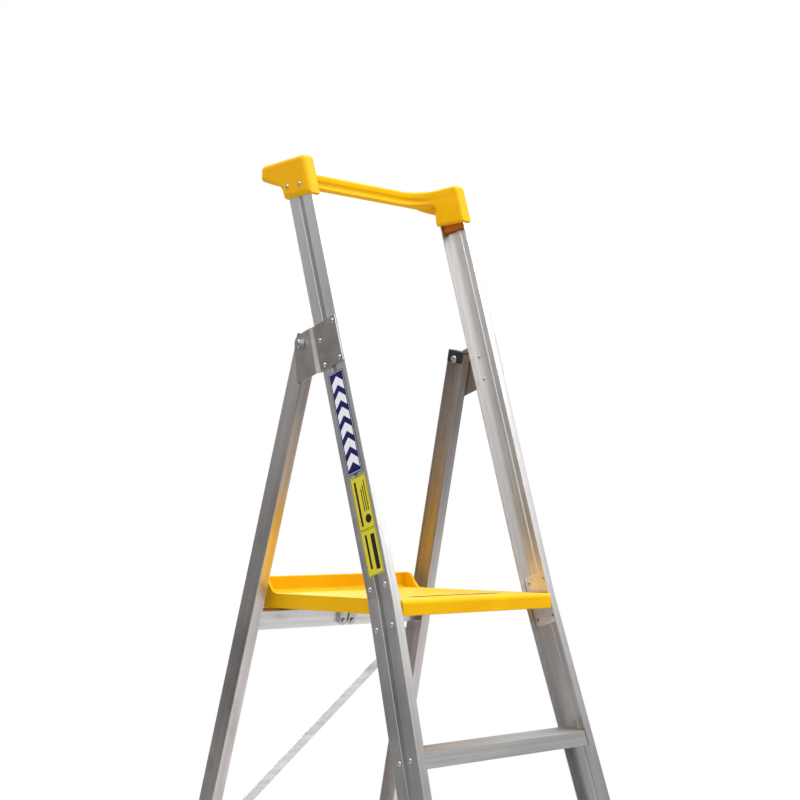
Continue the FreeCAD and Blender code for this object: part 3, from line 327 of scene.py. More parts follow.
stile_metal = extrusion("stile_aluminium", (0.88, 0.865, 0.86), FRONT_LEAN, FRONT_SPLAY, STILE_MIDDLE,
                        groove=STILE_GROOVE)
# The rear legs are a darker copy of the stiles' aluminium: painted shade for the dimmer light on them.
leg_metal = extrusion("leg_aluminium", (0.635, 0.60, 0.585), REAR_LEAN, REAR_SPLAY, PIVOT,
                      rear=True, grime=0.4)
plate_metal = sheet_metal("plate_aluminium", (0.47, 0.44, 0.42), FRONT_LEAN)
bracket_metal = sheet_metal("bracket_aluminium", (0.96, 0.95, 0.94), FRONT_LEAN)
bar_metal = cross_extrusion("bar_aluminium", (0.74, 0.735, 0.735))
tread_metal = cross_extrusion("tread_aluminium", (0.62, 0.615, 0.61), wear=0.08)
rivet_metal = small_metal("rivet_aluminium", (0.60, 0.59, 0.58), 0.33)
mandrel_metal = small_metal("mandrel_steel", (0.16, 0.15, 0.14), 0.45)
zinc_metal = small_metal("zinc_plate", (0.56, 0.58, 0.57), 0.34)
yellow_plastic = moulding("yellow_moulding", (0.775, 0.415, 0.001), (0.725, 0.365, 0.001), 1500.0, scuffs=0.10)
# A darker copy of the yellow moulding: painted shade for the tongues down inside the stile channels.
shaded_yellow_plastic = moulding("shaded_yellow_moulding", (0.420, 0.120, 0.004), (0.380, 0.100, 0.003), 1500.0)
deck_plastic = moulding("deck_moulding", (0.775, 0.430, 0.001), (0.735, 0.380, 0.001), 900.0, scuffs=0.20)
black_plastic = dull_plastic("black_cap", (0.012, 0.012, 0.013), 0.42)
foot_rubber = dull_plastic("foot_rubber", (0.022, 0.021, 0.020), 0.68, grain=900.0)

# ---------------------------------------------------------------- carried-over CAD nodes


SHARP_EDGE = math.radians(30)


def soften(node, width):
    """Rounds a CAD node's sharp edges a little, and gives it even shading, without touching its mesh."""
    weld = node.modifiers.new("weld", "WELD")
    weld.merge_threshold = 1e-6
    flat = node.modifiers.new("flat_faces", "DECIMATE")
    flat.decimate_type = "DISSOLVE"
    flat.angle_limit = math.radians(0.2)
    bevel = node.modifiers.new("edges", "BEVEL")
    bevel.width = width
    bevel.segments = 2
    bevel.limit_method = "ANGLE"
    bevel.angle_limit = SHARP_EDGE
    bevel.use_clamp_overlap = True
    normals = node.modifiers.new("normals", "WEIGHTED_NORMAL")
    normals.keep_sharp = True


CAD_FINISH = {    # node: (material, width of its softened edges in millimetres)
    "left_stile": (stile_metal, 0.5), "right_stile": (stile_metal, 0.5),
    "left_hinge_plate": (plate_metal, 0.5), "right_hinge_plate": (plate_metal, 0.5),
    "left_deck_bracket": (bracket_metal, 0.4), "right_deck_bracket": (bracket_metal, 0.4),
    "left_rear_leg": (leg_metal, 0.4), "right_rear_leg": (leg_metal, 0.4),
    "left_leg_cap": (black_plastic, 0.8), "right_leg_cap": (black_plastic, 0.8),
    "left_front_foot": (foot_rubber, 1.2), "right_front_foot": (foot_rubber, 1.2),
    "left_rear_foot": (foot_rubber, 1.2), "right_rear_foot": (foot_rubber, 1.2),
    "tread_1": (tread_metal, 0.3), "tread_2": (tread_metal, 0.3), "tread_3": (tread_metal, 0.3),
    "tread_brackets": (bracket_metal, 0.4), "tread_braces": (bar_metal, 0.4),
    "rear_bar_upper": (bar_metal, 0.0), "rear_bar_middle": (bar_metal, 0.0),
    "rear_bar_lower": (bar_metal, 0.0),
    "rear_braces": (bar_metal, 0.4),
    "pivot_bolts": (zinc_metal, 0.0), "pivot_washers": (zinc_metal, 0.2), "pivot_nuts": (zinc_metal, 0.0),
    "deck_pivot_pins": (zinc_metal, 0.3), "deck_pivot_spacers": (black_plastic, 0.4),
    "deck_rest_pads": (foot_rubber, 0.8), "deck_rest_lugs": (zinc_metal, 1.2),
    "deck_rest_bolts": (zinc_metal, 0.3),
    "deck": (deck_plastic, 1.6),
}

for name, (material, width) in CAD_FINISH.items():
    node = frame["nodes"][name]
    for material_slot in node.material_slots:
        material_slot.material = material
    if width:
        soften(node, width * MM)

# ---------------------------------------------------------------- meshes from distances


def rounded_corners(corners, steps=8):
    """An outline's points, with each (a, b, radius) corner turned into an arc."""
    points = []
    count = len(corners)
    for i in range(count):
        spot = Vector(corners[i][:2])
        radius = corners[i][2]
        before = (Vector(corners[i - 1][:2]) - spot).normalized()
        after = (Vector(corners[(i + 1) % count][:2]) - spot).normalized()
        half = before.angle(after) / 2
        centre = spot + (before + after).normalized() * (radius / math.sin(half))
        start = spot + before * (radius / math.tan(half)) - centre
        end = spot + after * (radius / math.tan(half)) - centre
        sweep = start.angle_signed(end)
        for step in range(steps + 1):
            turn = Matrix.Rotation(-sweep * step / steps, 2)
            points.append(centre + turn @ start)
    return points


def outline_distance(a, b, points):
    """Signed distance in a plane from a closed outline, below zero inside it."""
    nearest = numpy.full(numpy.broadcast(a, b).shape, 1e9)
    inside = numpy.zeros(nearest.shape, bool)
    for first, last in zip(points, points[1:] + points[:1]):
        edge = last - first
        if edge.length < 1e-9:
            continue
        da, db = a - first.x, b - first.y
        share = numpy.clip((da * edge.x + db * edge.y) / edge.length_squared, 0, 1)
        nearest = numpy.minimum(nearest, numpy.hypot(da - edge.x * share, db - edge.y * share))
        if abs(edge.y) > 1e-12:
            crosses = ((first.y > b) != (last.y > b)) & (a < first.x + edge.x * (b - first.y) / edge.y)
            inside ^= crosses
    return numpy.where(inside, -nearest, nearest)


def both(first, second, radius):
    """The part inside both shapes, with a rounded edge where they meet."""
    corner = numpy.hypot(numpy.maximum(first + radius, 0), numpy.maximum(second + radius, 0))
    return numpy.minimum(-radius, numpy.maximum(first, second)) + corner


def surface(name, distance, low, high, cell):
    """A closed mesh of the surface where distance(x, y, z) is zero.

    It has one vertex in each grid cell that the surface passes through, and one quad to each grid edge.
    """
    axes = [numpy.arange(lo - 2 * cell, hi + 3 * cell, cell) for lo, hi in zip(low, high)]
    x, y, z = numpy.meshgrid(*axes, indexing="ij", sparse=True)
    field = numpy.broadcast_to(distance(x, y, z), [len(a) for a in axes])
    solid = field < 0
    corners = [(i, j, k) for i in (0, 1) for j in (0, 1) for k in (0, 1)]
    shape = [n - 1 for n in field.shape]
    full = numpy.zeros(shape, numpy.int8)
    for i, j, k in corners:
        full += solid[i:i + shape[0], j:j + shape[1], k:k + shape[2]]
    cells = numpy.argwhere((full > 0) & (full < 8))
    total = numpy.zeros((len(cells), 3))
    hits = numpy.zeros(len(cells))
    for first in corners:
        for axis in range(3):
            if first[axis]:
                continue
            last = tuple(1 if n == axis else first[n] for n in range(3))
            at_first = field[tuple((cells + first).T)]
            at_last = field[tuple((cells + last).T)]
            crosses = (at_first < 0) != (at_last < 0)
            share = numpy.where(crosses, at_first / numpy.where(crosses, at_first - at_last, 1), 0)
            spot = numpy.array(first, float)[None, :] + share[:, None] * numpy.eye(3)[axis][None, :]
            total += spot * crosses[:, None]
            hits += crosses
    places = (cells + total / hits[:, None]) * cell + numpy.array([a[0] for a in axes])
    number = numpy.full(shape, -1)
    number[tuple(cells.T)] = numpy.arange(len(cells))
    faces = []
    for axis in range(3):
        u, v = (axis + 1) % 3, (axis + 2) % 3
        ahead = numpy.roll(solid, -1, axis)
        edge = numpy.argwhere(solid != ahead)
        edge = edge[(edge[:, axis] < shape[axis]) & (edge[:, u] > 0) & (edge[:, v] > 0)]
        step_u, step_v = numpy.eye(3, dtype=int)[u], numpy.eye(3, dtype=int)[v]
        ring = [edge - step_u - step_v, edge - step_v, edge, edge - step_u]
        quads = numpy.stack([number[tuple(r.T)] for r in ring], axis=1)
        outward = solid[tuple(edge.T)]
        quads[~outward] = quads[~outward][:, ::-1]
        faces.append(quads)
    mesh = bpy.data.meshes.new(name)
    mesh.from_pydata(places.tolist(), [], numpy.concatenate(faces).tolist())
    mesh.shade_smooth()
    return mesh


def add_piece(name, mesh, material, body, replaced=()):
    """A new object that rides on a body. material is None where the mesh already has its own."""
    piece = bpy.data.objects.new(name, mesh)
    bpy.context.scene.collection.objects.link(piece)
    if material is not None:
        mesh.materials.append(material)
    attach(piece, body)
    if replaced:
        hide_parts(*replaced)


# ---------------------------------------------------------------- head moulding


MOULDING_LOW, MOULDING_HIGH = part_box("handrail_moulding")
TONGUE_TALL = 12 * MM    # how far the tongues reach below the caps' skirts
SKIRT_Z = MOULDING_LOW.z + TONGUE_TALL


def handrail():
    """Two caps joined by a grooved rail, in one soft-edged moulding."""
    half, back = MOULDING_HIGH.x, MOULDING_HIGH.y
    front = back - 176 * MM
    skirt_back = front + 94 * MM
    cap_top = MOULDING_HIGH.z
    cap_top_front = front + (cap_top - SKIRT_Z) * math.tan(FRONT_LEAN)
    cap_round, bay_round, under_round, under_edge = 11 * MM, 7 * MM, 12 * MM, 5 * MM
    rail_tall, rail_thick, corner = 34 * MM, 25 * MM, 58 * MM
    rail_top = cap_top - 4 * MM
    rail_low = rail_top - rail_tall
    rail_front = back - rail_thick
    cap_inside = STILE_HALF - STILE_FLANGE - 3 * MM
    flare_wide, flare_slope = 14 * MM, 3.0
    scoop_z, scoop_deep, scoop_round, scoop_edge = rail_low + rail_tall * 0.34, 3.0 * MM, 11 * MM, 1.2 * MM
    side_view = rounded_corners([
        (front, SKIRT_Z, 2 * MM), (cap_top_front, cap_top, 15 * MM), (back, rail_top, 11 * MM),
        (back, rail_low, 8 * MM), (skirt_back + 12 * MM, SKIRT_Z + 27 * MM, 24 * MM),
        (skirt_back, SKIRT_Z, 3 * MM)])

    def distance(x, y, z):
        out = numpy.abs(x)
        blank = both(outline_distance(y, z, side_view), out - half, cap_round)
        across, behind = out - (cap_inside - corner), y - (rail_front - corner)
        bay = numpy.hypot(numpy.maximum(across, 0), numpy.maximum(behind, 0)) - corner
        bay = bay + numpy.minimum(numpy.maximum(across, behind), 0)
        flare = flare_slope * numpy.maximum(out - half + flare_wide, 0)
        under = both(z - rail_low + flare, skirt_back + 3 * MM - y, under_round)
        shape = both(both(blank, -bay, bay_round), -under, under_edge)
        fade = numpy.clip(behind / corner, 0, 1)
        scoop = numpy.hypot(bay + scoop_round - scoop_deep * fade, z - scoop_z) - scoop_round
        return both(shape, -scoop, scoop_edge)

    mesh = surface("handrail", distance, MOULDING_LOW, MOULDING_HIGH, 1.7 * MM)
    add_piece("handrail", mesh, yellow_plastic, "front_frame", ["handrail_moulding"])


def handrail_tongues():
    """The moulding's inner ends, reaching down inside the stile channels under its caps, in painted shade."""
    middle_x, half_thick = STILE_HALF - 8.4 * MM, 4.6 * MM
    half_deep = STILE_DEPTH / 2 - 3 * MM
    reach, end_slope, overlap = 9 * MM, 0.13, 4 * MM

    def distance(x, y, z):
        depth = (y - FRONT_Y) * math.cos(FRONT_LEAN) - (z - DECK_Z) * math.sin(FRONT_LEAN)
        end = SKIRT_Z - reach - depth * end_slope
        sides = both(numpy.abs(numpy.abs(x) - middle_x) - half_thick,
                     numpy.abs(depth - STILE_DEPTH / 2) - half_deep, 2 * MM)
        return both(sides, numpy.maximum(end - z, z - SKIRT_Z - overlap), 1.5 * MM)

    low = MOULDING_LOW - Vector((0, 0, 10 * MM))
    high = Vector((MOULDING_HIGH.x, MOULDING_HIGH.y, SKIRT_Z + 5 * MM))
    mesh = surface("handrail_tongues", distance, low, high, 1.5 * MM)
    add_piece("handrail_tongues", mesh, shaded_yellow_plastic, "front_frame")


handrail()
handrail_tongues()

# ---------------------------------------------------------------- blind rivets


def islands(node):
    """The separate solids of a CAD node, each as a list of points."""
    mesh = bmesh.new()
    mesh.from_mesh(node.data)
    bmesh.ops.remove_doubles(mesh, verts=mesh.verts, dist=1e-6)
    left = set(mesh.verts)
    found = []
    for seed in mesh.verts:
        if seed not in left:
            continue
        left.remove(seed)
        queue = [seed]
        points = []
        while queue:
            vert = queue.pop()
            points.append(vert.co.copy())
            for edge in vert.link_edges:
                other = edge.other_vert(vert)
                if other in left:
                    left.remove(other)
                    queue.append(other)
        found.append(points)
    mesh.free()
    return found


RIVET_DOME = 2.6 * MM
# The head's section in mm, from the mandrel's broken end to the rim: radius, then height off the plate.
HEAD_SECTION = [(0.0, 1.15), (1.25, 1.15), (1.35, 1.0), (1.4, 2.2), (1.75, 2.6), (2.6, 2.42), (3.6, 1.95),
                (4.5, 1.25), (5.0, 0.55), (5.1, 0.25), (4.95, 0.0)]
HEAD_TURNS, TAIL_TURNS = 28, 20
SHANK_RADIUS, BULB_NECK, BULB_RADIUS, BULB_LONG = 2.3, 3.8, 4.4, 2.6 * MM


def turned_ring(mesh, centre, out, radius, turns):
    """A ring of vertices square to out, with its radius in millimetres, or one vertex where that is zero."""
    side = out.orthogonal().normalized()
    other = out.cross(side)
    angles = [2 * math.pi * turn / turns for turn in range(turns if radius else 1)]
    return [mesh.verts.new(centre + (side * math.cos(a) + other * math.sin(a)) * radius * MM) for a in angles]


def rivet_head(mesh, apex, out):
    """A domed blind rivet with the broken mandrel in its middle."""
    base = apex - out * RIVET_DOME
    rings = [turned_ring(mesh, base + out * height * MM, out, radius, HEAD_TURNS)
             for radius, height in HEAD_SECTION]
    for number, (inner, outer) in enumerate(zip(rings, rings[1:])):
        for turn in range(HEAD_TURNS):
            after = (turn + 1) % HEAD_TURNS
            if len(inner) == 1:
                face = mesh.faces.new((inner[0], outer[turn], outer[after]))
            else:
                face = mesh.faces.new((inner[turn], outer[turn], outer[after], inner[after]))
            face.smooth = True
            face.material_index = 1 if number < 2 else 0
    mesh.faces.new(rings[-1][::-1])


def rivet_tail(mesh, apex, out, depth):
    """The shank through the plates, and the bulb that the mandrel has drawn up behind them."""
    section = [(SHANK_RADIUS, RIVET_DOME), (SHANK_RADIUS, depth - BULB_LONG), (BULB_NECK, depth - BULB_LONG),
               (BULB_RADIUS, depth - BULB_LONG / 2), (BULB_NECK, depth),
               (1.6, depth + 0.2 * MM), (1.4, depth - 0.9 * MM)]    # the mandrel's end, sunk in the bulb
    rings = [turned_ring(mesh, apex - out * down, out, radius, TAIL_TURNS) for radius, down in section]
    mesh.faces.new(rings[0])
    for number, (inner, outer) in enumerate(zip(rings, rings[1:])):
        for turn in range(TAIL_TURNS):
            after = (turn + 1) % TAIL_TURNS
            face = mesh.faces.new((inner[turn], outer[turn], outer[after], inner[after]))
            face.smooth = True
            face.material_index = 1 if number == len(rings) - 2 else 0
    mesh.faces.new(rings[-1][::-1]).material_index = 1


def blind_rivets(node_name, body, outward, metal=rivet_metal):
    """Detailed rivets in place of a node of plain ones. outward(point) is the way a rivet there points."""
    mesh = bmesh.new()
    for points in islands(frame["nodes"][node_name]):
        out = outward(sum(points, Vector()) / len(points)).normalized()
        tip, tail = max(p.dot(out) for p in points), min(p.dot(out) for p in points)
        crown = [p for p in points if p.dot(out) > tip - 0.05 * MM]
        apex = sum(crown, Vector()) / len(crown)
        rivet_head(mesh, apex, out)
        rivet_tail(mesh, apex, out, tip - tail)
    data = bpy.data.meshes.new(node_name + "_detail")
    mesh.to_mesh(data)
    mesh.free()
    data.materials.append(metal)
    data.materials.append(mandrel_metal)
    add_piece(node_name + "_detail", data, None, body, [node_name])


def sideways(splay):
    """Out of a web: level above the deck, and tipped up by the splay below it, where the stiles turn out."""

    def outward(point):
        tip = splay if point.z < DECK_Z - 20 * MM else 0.0
        return Vector((math.copysign(math.cos(tip), point.x), 0, math.sin(tip)))

    return outward


def rearward(point):
    """Out of the back of the rear frame."""
    return Vector((0, math.cos(REAR_LEAN), math.sin(REAR_LEAN)))


blind_rivets("tread_rivets", "front_frame", sideways(FRONT_SPLAY))
blind_rivets("hinge_rivets", "front_frame", sideways(0.0))
blind_rivets("deck_bracket_rivets", "front_frame", sideways(FRONT_SPLAY))
blind_rivets("head_rivets", "front_frame", sideways(0.0), zinc_metal)
blind_rivets("rear_bar_rivets", "rear_frame", rearward)
blind_rivets("rear_brace_rivets", "rear_frame", rearward)

# ---------------------------------------------------------------- ribs round the feet


def outline_at(mesh, height):
    """The points where a mesh's edges cross a height, in no order."""
    spots = []
    for edge in mesh.edges:
        first, last = (vert.co for vert in edge.verts)
        if (first.z < height) != (last.z < height):
            spots.append(first.lerp(last, (height - first.z) / (last.z - first.z)))
    return spots


def hull(spots):
    """The convex outline of level points, anticlockwise from above."""
    points = sorted({(round(p.x, 6), round(p.y, 6)) for p in spots})

    def half(run):
        chain = []
        for p in run:
            while len(chain) > 1:
                (ax, ay), (bx, by) = chain[-2:]
                if (bx - ax) * (p[1] - ay) - (by - ay) * (p[0] - ax) > 1e-12:
                    break
                chain.pop()
            chain.append(p)
        return chain[:-1]

    return [Vector(p) for p in half(points) + half(points[::-1])]


def grown(points, wide):
    """An outline moved outwards by a width."""
    moved = []
    count = len(points)
    for i in range(count):
        before = (points[i] - points[i - 1]).normalized()
        after = (points[(i + 1) % count] - points[i]).normalized()
        out = (Vector((before.y, -before.x)) + Vector((after.y, -after.x))).normalized()
        moved.append(points[i] + out * wide)
    return moved


RIB_LEVELS = (17 * MM, 23.5 * MM, 30 * MM)
RIB_TALL, RIB_PROUD, RIB_ROOT = 2.6 * MM, 0.7 * MM, 1.0 * MM
# A rib's section: share of its height, then how far it stands out of the foot.
RIB_SECTION = ((0.0, -RIB_ROOT), (0.0, 0.3 * RIB_PROUD), (0.25, RIB_PROUD), (0.75, RIB_PROUD),
               (1.0, 0.3 * RIB_PROUD), (1.0, -RIB_ROOT))


def foot_ribs(node_name, body):
    """Level grip ribs round the lower part of a foot."""
    source = bmesh.new()
    source.from_mesh(frame["nodes"][node_name].data)
    bmesh.ops.remove_doubles(source, verts=source.verts, dist=1e-6)
    mesh = bmesh.new()
    for level in RIB_LEVELS:
        outline = hull(outline_at(source, level))
        rings = [[mesh.verts.new((p.x, p.y, level + share * RIB_TALL)) for p in grown(outline, wide)]
                 for share, wide in RIB_SECTION]
        for lower, upper in zip(rings, rings[1:] + rings[:1]):
            for i in range(len(lower)):
                j = (i + 1) % len(lower)
                mesh.faces.new((lower[i], lower[j], upper[j], upper[i]))
    bmesh.ops.recalc_face_normals(mesh, faces=mesh.faces)
    data = bpy.data.meshes.new(node_name + "_ribs")
    mesh.to_mesh(data)
    mesh.free()
    source.free()
    add_piece(node_name + "_ribs", data, foot_rubber, body)


for side in ("left", "right"):
    foot_ribs(side + "_front_foot", "front_frame")
    foot_ribs(side + "_rear_foot", "rear_frame")

# ---------------------------------------------------------------- labels


FILM_THICK, INK_PROUD = 0.3 * MM, 0.05 * MM


def printed_block(mesh, under_spots, over_spots, ink=0):
    """A thin block between two matching outlines."""
    under = [mesh.verts.new(p) for p in under_spots]
    over = [mesh.verts.new(p) for p in over_spots]
    faces = [mesh.faces.new(over), mesh.faces.new(under[::-1])]
    for i in range(len(under)):
        j = (i + 1) % len(under)
        faces.append(mesh.faces.new((under[i], under[j], over[j], over[i])))
    for face in faces:
        face.material_index = ink


def printed_mesh(name, mesh, materials):
    """The finished mesh of the blocks, with one material to each ink."""
    bmesh.ops.recalc_face_normals(mesh, faces=mesh.faces)
    data = bpy.data.meshes.new(name)
    mesh.to_mesh(data)
    mesh.free()
    for material in materials:
        data.materials.append(material)
    return data


def label(name, node, film, ink, shapes):
    """A film label on the left stile with plain printed shapes.

    Shapes are (0 for the film or 1 for the ink, closed outline). The outline's points are in millimetres,
    from the middle of the label: across, then along.
    """
    low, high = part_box(node)
    centre = Vector((0, (low.y + high.y) / 2, (low.z + high.z) / 2))
    across_way = Vector((0, math.cos(FRONT_LEAN), -math.sin(FRONT_LEAN)))
    along_way = Vector((0, math.sin(FRONT_LEAN), math.cos(FRONT_LEAN)))
    out = Vector((-1, 0, 0))
    film_top = -low.x
    mesh = bmesh.new()
    for number, outline in shapes:
        spots = [centre + across_way * (a * MM) + along_way * (b * MM) for a, b in outline]
        top = film_top + number * INK_PROUD
        base = top - FILM_THICK
        printed_block(mesh, [p + out * base for p in spots], [p + out * top for p in spots], number)
    add_piece(name, printed_mesh(name, mesh, (film, ink)), None, "front_frame", [node])


def label_size(node):
    """(across, along) of a label in millimetres, from its box in the leaning frame."""
    low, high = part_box(node)
    tall, deep = (high.z - low.z) / MM, (high.y - low.y) / MM
    c, s = math.cos(FRONT_LEAN), math.sin(FRONT_LEAN)
    along = (tall * c - deep * s) / (c * c - s * s)
    across = (deep * c - tall * s) / (c * c - s * s)
    return across, along


def plain_rectangle(x0, x1, y0, y1, radius=0.0):
    """A rectangle's outline, with rounded corners where a radius is given."""
    corners = [(x0, y0, radius), (x1, y0, radius), (x1, y1, radius), (x0, y1, radius)]
    if not radius:
        return [c[:2] for c in corners]
    return [tuple(p) for p in rounded_corners(corners, 5)]


def ring(x0, x1, y0, y1, wide):
    """Four strips that frame a panel."""
    return [plain_rectangle(x0, x1, y0, y0 + wide), plain_rectangle(x0, x1, y1 - wide, y1),
            plain_rectangle(x0, x0 + wide, y0 + wide, y1 - wide),
            plain_rectangle(x1 - wide, x1, y0 + wide, y1 - wide)]


def disc(x, y, radius, steps=32):
    return [(x + radius * math.cos(2 * math.pi * i / steps), y + radius * math.sin(2 * math.pi * i / steps))
            for i in range(steps)]


white_ink = vinyl("white_ink", (0.80, 0.80, 0.84))
black_ink = vinyl("black_ink", (0.015, 0.015, 0.02))
navy_film = vinyl("navy_film", (0.006, 0.009, 0.085))
yellow_film = vinyl("yellow_film", (0.640, 0.560, 0.030))


def navy_label():
    """Navy, with a pale keyline and a column of plain pale chevrons that point up."""
    across, along = label_size("side_label_upper")
    x, y = across / 2, along / 2
    margin, line = 2.0, 0.9
    shapes = [(0, plain_rectangle(-x, x, -y, y, 2.0))]
    shapes += [(1, strip) for strip in ring(-x + margin, x - margin, -y + margin, y - margin, line)]
    count, rise, bold, end_gap = 6, 15.0, 19.0, 10.0
    pitch = (along - 2 * end_gap - rise - bold) / (count - 1)
    wide = x - 6.0
    for i in range(count):
        start = -y + end_gap + pitch * i
        for end in (-wide, wide):
            arm = [(0, start + rise), (end, start), (end, start + bold), (0, start + rise + bold)]
            shapes.append((1, arm))
    label("navy_side_label", "side_label_upper", navy_film, white_ink, shapes)


def yellow_label():
    """Two yellow panels with plain dark bars and a dark disc."""
    across, along = label_size("side_label_lower")
    x, y = across / 2, along / 2
    split = -y + along * 0.46
    edge, line = 1.0, 0.9
    shapes = [(0, plain_rectangle(-x, x, -y, y, 2.0))]
    for y0, y1 in ((-y + edge, split - edge), (split + edge, y - edge)):
        shapes += [(1, strip) for strip in ring(-x + edge, x - edge, y0, y1, line)]
    lower_panel = [plain_rectangle(-x + 8, -x + 20, -y + 10, split - 12, 2.0),
                   plain_rectangle(x - 17, x - 11, -y + 14, split - 10, 1.0)]
    upper_panel = [disc(-x + 15, split + 20, 9.0), plain_rectangle(x - 15, x - 9, split + 8, y - 10, 1.0)]
    bar_wide, bar_pitch, bar_step = 2.6, 6.0, 8
    for i in range(3):
        left = -x + 8 + bar_pitch * i
        upper_panel.append(plain_rectangle(left, left + bar_wide, split + 36, y - 12 - bar_step * i, 0.5))
    shapes += [(1, outline) for outline in lower_panel + upper_panel]
    label("yellow_side_label", "side_label_lower", yellow_film, black_ink, shapes)


navy_label()
yellow_label()


# In millimetres: the row's left end, its middle back from the deck's front, and its size from front to back.
PRINT_LEFT, PRINT_BACK, PRINT_DEEP = -118, 83, 26
PRINT_SUNK, PRINT_PROUD = 0.3 * MM, 0.15 * MM
PRINT_DASHES = ((17, 3), (9, 2.5), (24, 5), (12, 3), (31, 6), (14, 3), (10, 2.5), (26, 5), (16, 3), (11, 2.5),
                (22, 4), (15, 3), (19, 0))    # width, then the gap after it


def deck_print():
    """A row of plain dark dashes printed across the deck, near its front."""
    mesh = bmesh.new()
    front = FRONT_Y + (PRINT_BACK - PRINT_DEEP / 2) * MM
    back = front + PRINT_DEEP * MM
    left = PRINT_LEFT * MM
    for wide, gap in PRINT_DASHES:
        right = left + wide * MM
        corners = ((left, front), (right, front), (right, back), (left, back))
        outline = rounded_corners([(x, y, 0.8 * MM) for x, y in corners], 4)
        printed_block(mesh, [(p.x, p.y, DECK_Z - PRINT_SUNK) for p in outline],
                      [(p.x, p.y, DECK_Z + PRINT_PROUD) for p in outline])
        left = right + gap * MM
    add_piece("deck_print", printed_mesh("deck_print", mesh, (black_ink,)), None, "platform")


deck_print()

# ---------------------------------------------------------------- studio


def area_light(name, spot, target, size, watts):
    data = bpy.data.lights.new(name, "AREA")
    data.shape = "DISK"
    data.size = size
    data.energy = watts
    light = bpy.data.objects.new(name, data)
    bpy.context.scene.collection.objects.link(light)
    light.location = spot
    light.rotation_euler = (Vector(target) - Vector(spot)).to_track_quat("-Z", "Y").to_euler()


def floor_ring(name, material, inner, outer, turns=64):
    """A flat ring of floor, or a disc where it has no inner edge."""
    mesh = bmesh.new()
    edges = []
    for radius in (inner, outer):
        if radius:
            spokes = [2 * math.pi * i / turns for i in range(turns)]
            edges.append([mesh.verts.new((radius * math.cos(a), radius * math.sin(a), 0)) for a in spokes])
    if inner:
        for i in range(turns):
            j = (i + 1) % turns
            mesh.faces.new((edges[0][i], edges[1][i], edges[1][j], edges[0][j]))
    else:
        mesh.faces.new(edges[0])
    data = bpy.data.meshes.new(name)
    mesh.to_mesh(data)
    mesh.free()
    data.materials.append(material)
    ring_object = bpy.data.objects.new(name, data)
    bpy.context.scene.collection.objects.link(ring_object)
    return ring_object


def studio_floor():
    """Pale paper that fades into plain white away from the object.

    The bright part beyond the near disc is kept out of reflections.
    """
    s = Shader("floor_paper", (0.56, 0.56, 0.56), roughness=0.85)
    s.surface.inputs["Specular IOR Level"].default_value = 0.0
    s.surface.inputs["Emission Color"].default_value = (1, 1, 1, 1)
    x, y = s.along((1, 0, 0)), s.along((0, 1, 0))
    radius = s.math("SQRT", s.math("ADD", s.math("MULTIPLY", x, x), s.math("MULTIPLY", y, y)))
    paper_until, white_from = 1.5, 4.3
    far = s.span(radius, paper_until, white_from)
    paper = s.noise(s.place, 3.0, 3.0, 0.5)
    s.color(s.blend(far, s.blend(paper, (0.54, 0.54, 0.54), (0.58, 0.58, 0.58)), (0.0, 0.0, 0.0)))
    s.link(far, s.surface.inputs["Emission Strength"])
    near_edge, far_edge = 3.4, 40.0
    floor_ring("floor", s.material, 0.0, near_edge)
    floor_ring("floor_far", s.material, near_edge, far_edge).visible_glossy = False


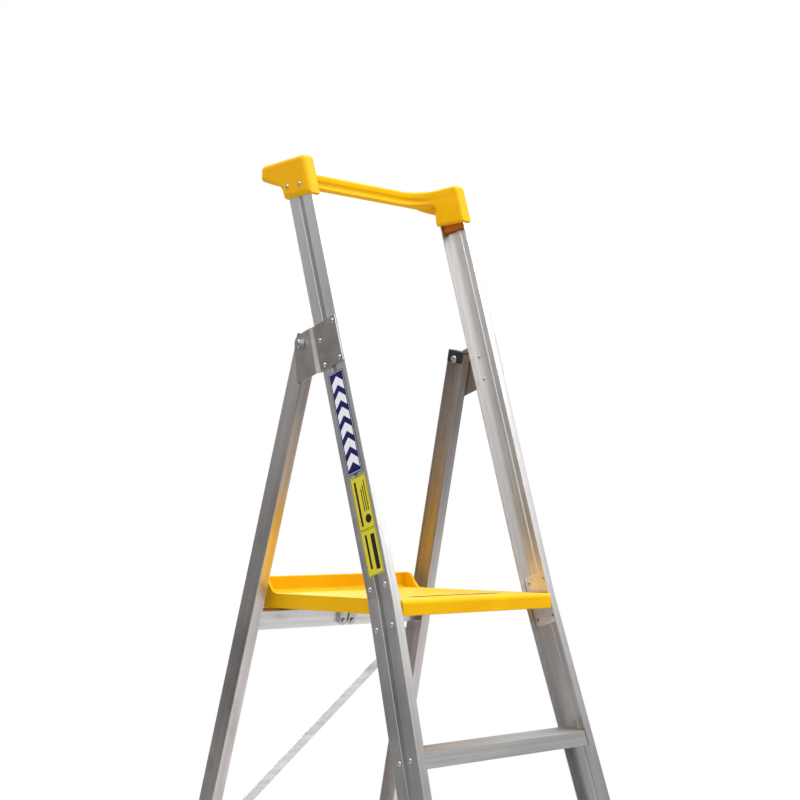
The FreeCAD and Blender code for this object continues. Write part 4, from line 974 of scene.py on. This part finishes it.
def studio_world():
    """Soft light from all round: brightest above, dim and a little warm below. The camera sees white."""
    world = bpy.data.worlds.new("studio")
    bpy.context.scene.world = world
    world.use_nodes = True
    tree = world.node_tree
    sky = tree.nodes["Background"]

    def add(kind, **settings):
        node = tree.nodes.new(kind)
        for key, value in settings.items():
            setattr(node, key, value)
        return node

    where = add("ShaderNodeTexCoord").outputs["Generated"]

    def ramp(direction, low, high, to_low, to_high):
        facing = add("ShaderNodeVectorMath", operation="DOT_PRODUCT")
        facing.inputs[1].default_value = Vector(direction).normalized()
        tree.links.new(where, facing.inputs[0])
        span = add("ShaderNodeMapRange", interpolation_type="SMOOTHSTEP")
        tree.links.new(facing.outputs["Value"], span.inputs["Value"])
        for key, value in (("From Min", low), ("From Max", high), ("To Min", to_low), ("To Max", to_high)):
            span.inputs[key].default_value = value
        return span.outputs["Result"]

    def node_math(operation, first, second):
        node = add("ShaderNodeMath", operation=operation)
        tree.links.new(first, node.inputs[0])
        tree.links.new(second, node.inputs[1])
        return node.outputs[0]

    up = (0, 0, 1)
    turned = ramp((0.80, -0.60, 0.0), -1.0, 1.0, 0.66, 0.54)
    raised = ramp(up, -0.03, 0.30, 0.12, 1.0)
    lifted = ramp(up, 0.30, 0.75, 1.0, 2.2)
    strength = node_math("MULTIPLY", turned, node_math("MULTIPLY", raised, lifted))
    seen = add("ShaderNodeLightPath").outputs["Is Camera Ray"]
    shown = add("ShaderNodeMix", data_type="FLOAT")
    tree.links.new(seen, shown.inputs["Factor"])
    tree.links.new(strength, shown.inputs["A"])
    shown.inputs["B"].default_value = 1.0
    tree.links.new(shown.outputs["Result"], sky.inputs["Strength"])
    tint = add("ShaderNodeMix", data_type="RGBA")
    tree.links.new(node_math("MAXIMUM", ramp(up, -0.20, 0.10, 0.0, 1.0), seen), tint.inputs["Factor"])
    tint.inputs["A"].default_value = (1.0, 0.90, 0.89, 1)
    tint.inputs["B"].default_value = (1, 1, 1, 1)
    tree.links.new(tint.outputs["Result"], sky.inputs["Color"])


def studio():
    studio_floor()
    studio_world()
    centre = (CAD_BOX[0] + CAD_BOX[1]) / 2
    area_light("key", centre + Vector((1.9, -3.1, 4.6)), centre, 2.2, 190.0)
    area_light("top", centre + Vector((-0.4, -0.2, 3.2)), centre, 2.5, 60.0)
    area_light("back", centre + Vector((1.5, 3.2, 1.8)), centre, 1.8, 50.0)
    scene = bpy.context.scene
    scene.view_settings.view_transform = "Standard"
    scene.view_settings.look = "None"


studio()

# ---------------------------------------------------------------- camera

CAMERA_FROM_DECK_FRONT = Vector((-2.3284, -2.2664, 0.1569))
CAMERA_TILT = math.radians(94.449)
CAMERA_TURN = math.radians(-42.914)
CAMERA_LENS = 69.84    # millimetres, on a sensor 36 mm wide


def camera():
    data = bpy.data.cameras.new("camera")
    data.sensor_width = 36.0
    data.lens = CAMERA_LENS
    data.clip_end = 200.0
    eye = bpy.data.objects.new("camera", data)
    bpy.context.scene.collection.objects.link(eye)
    eye.location = Vector((0, FRONT_Y, DECK_Z)) + CAMERA_FROM_DECK_FRONT
    eye.rotation_euler = (CAMERA_TILT, 0, CAMERA_TURN)
    bpy.context.scene.camera = eye


camera()
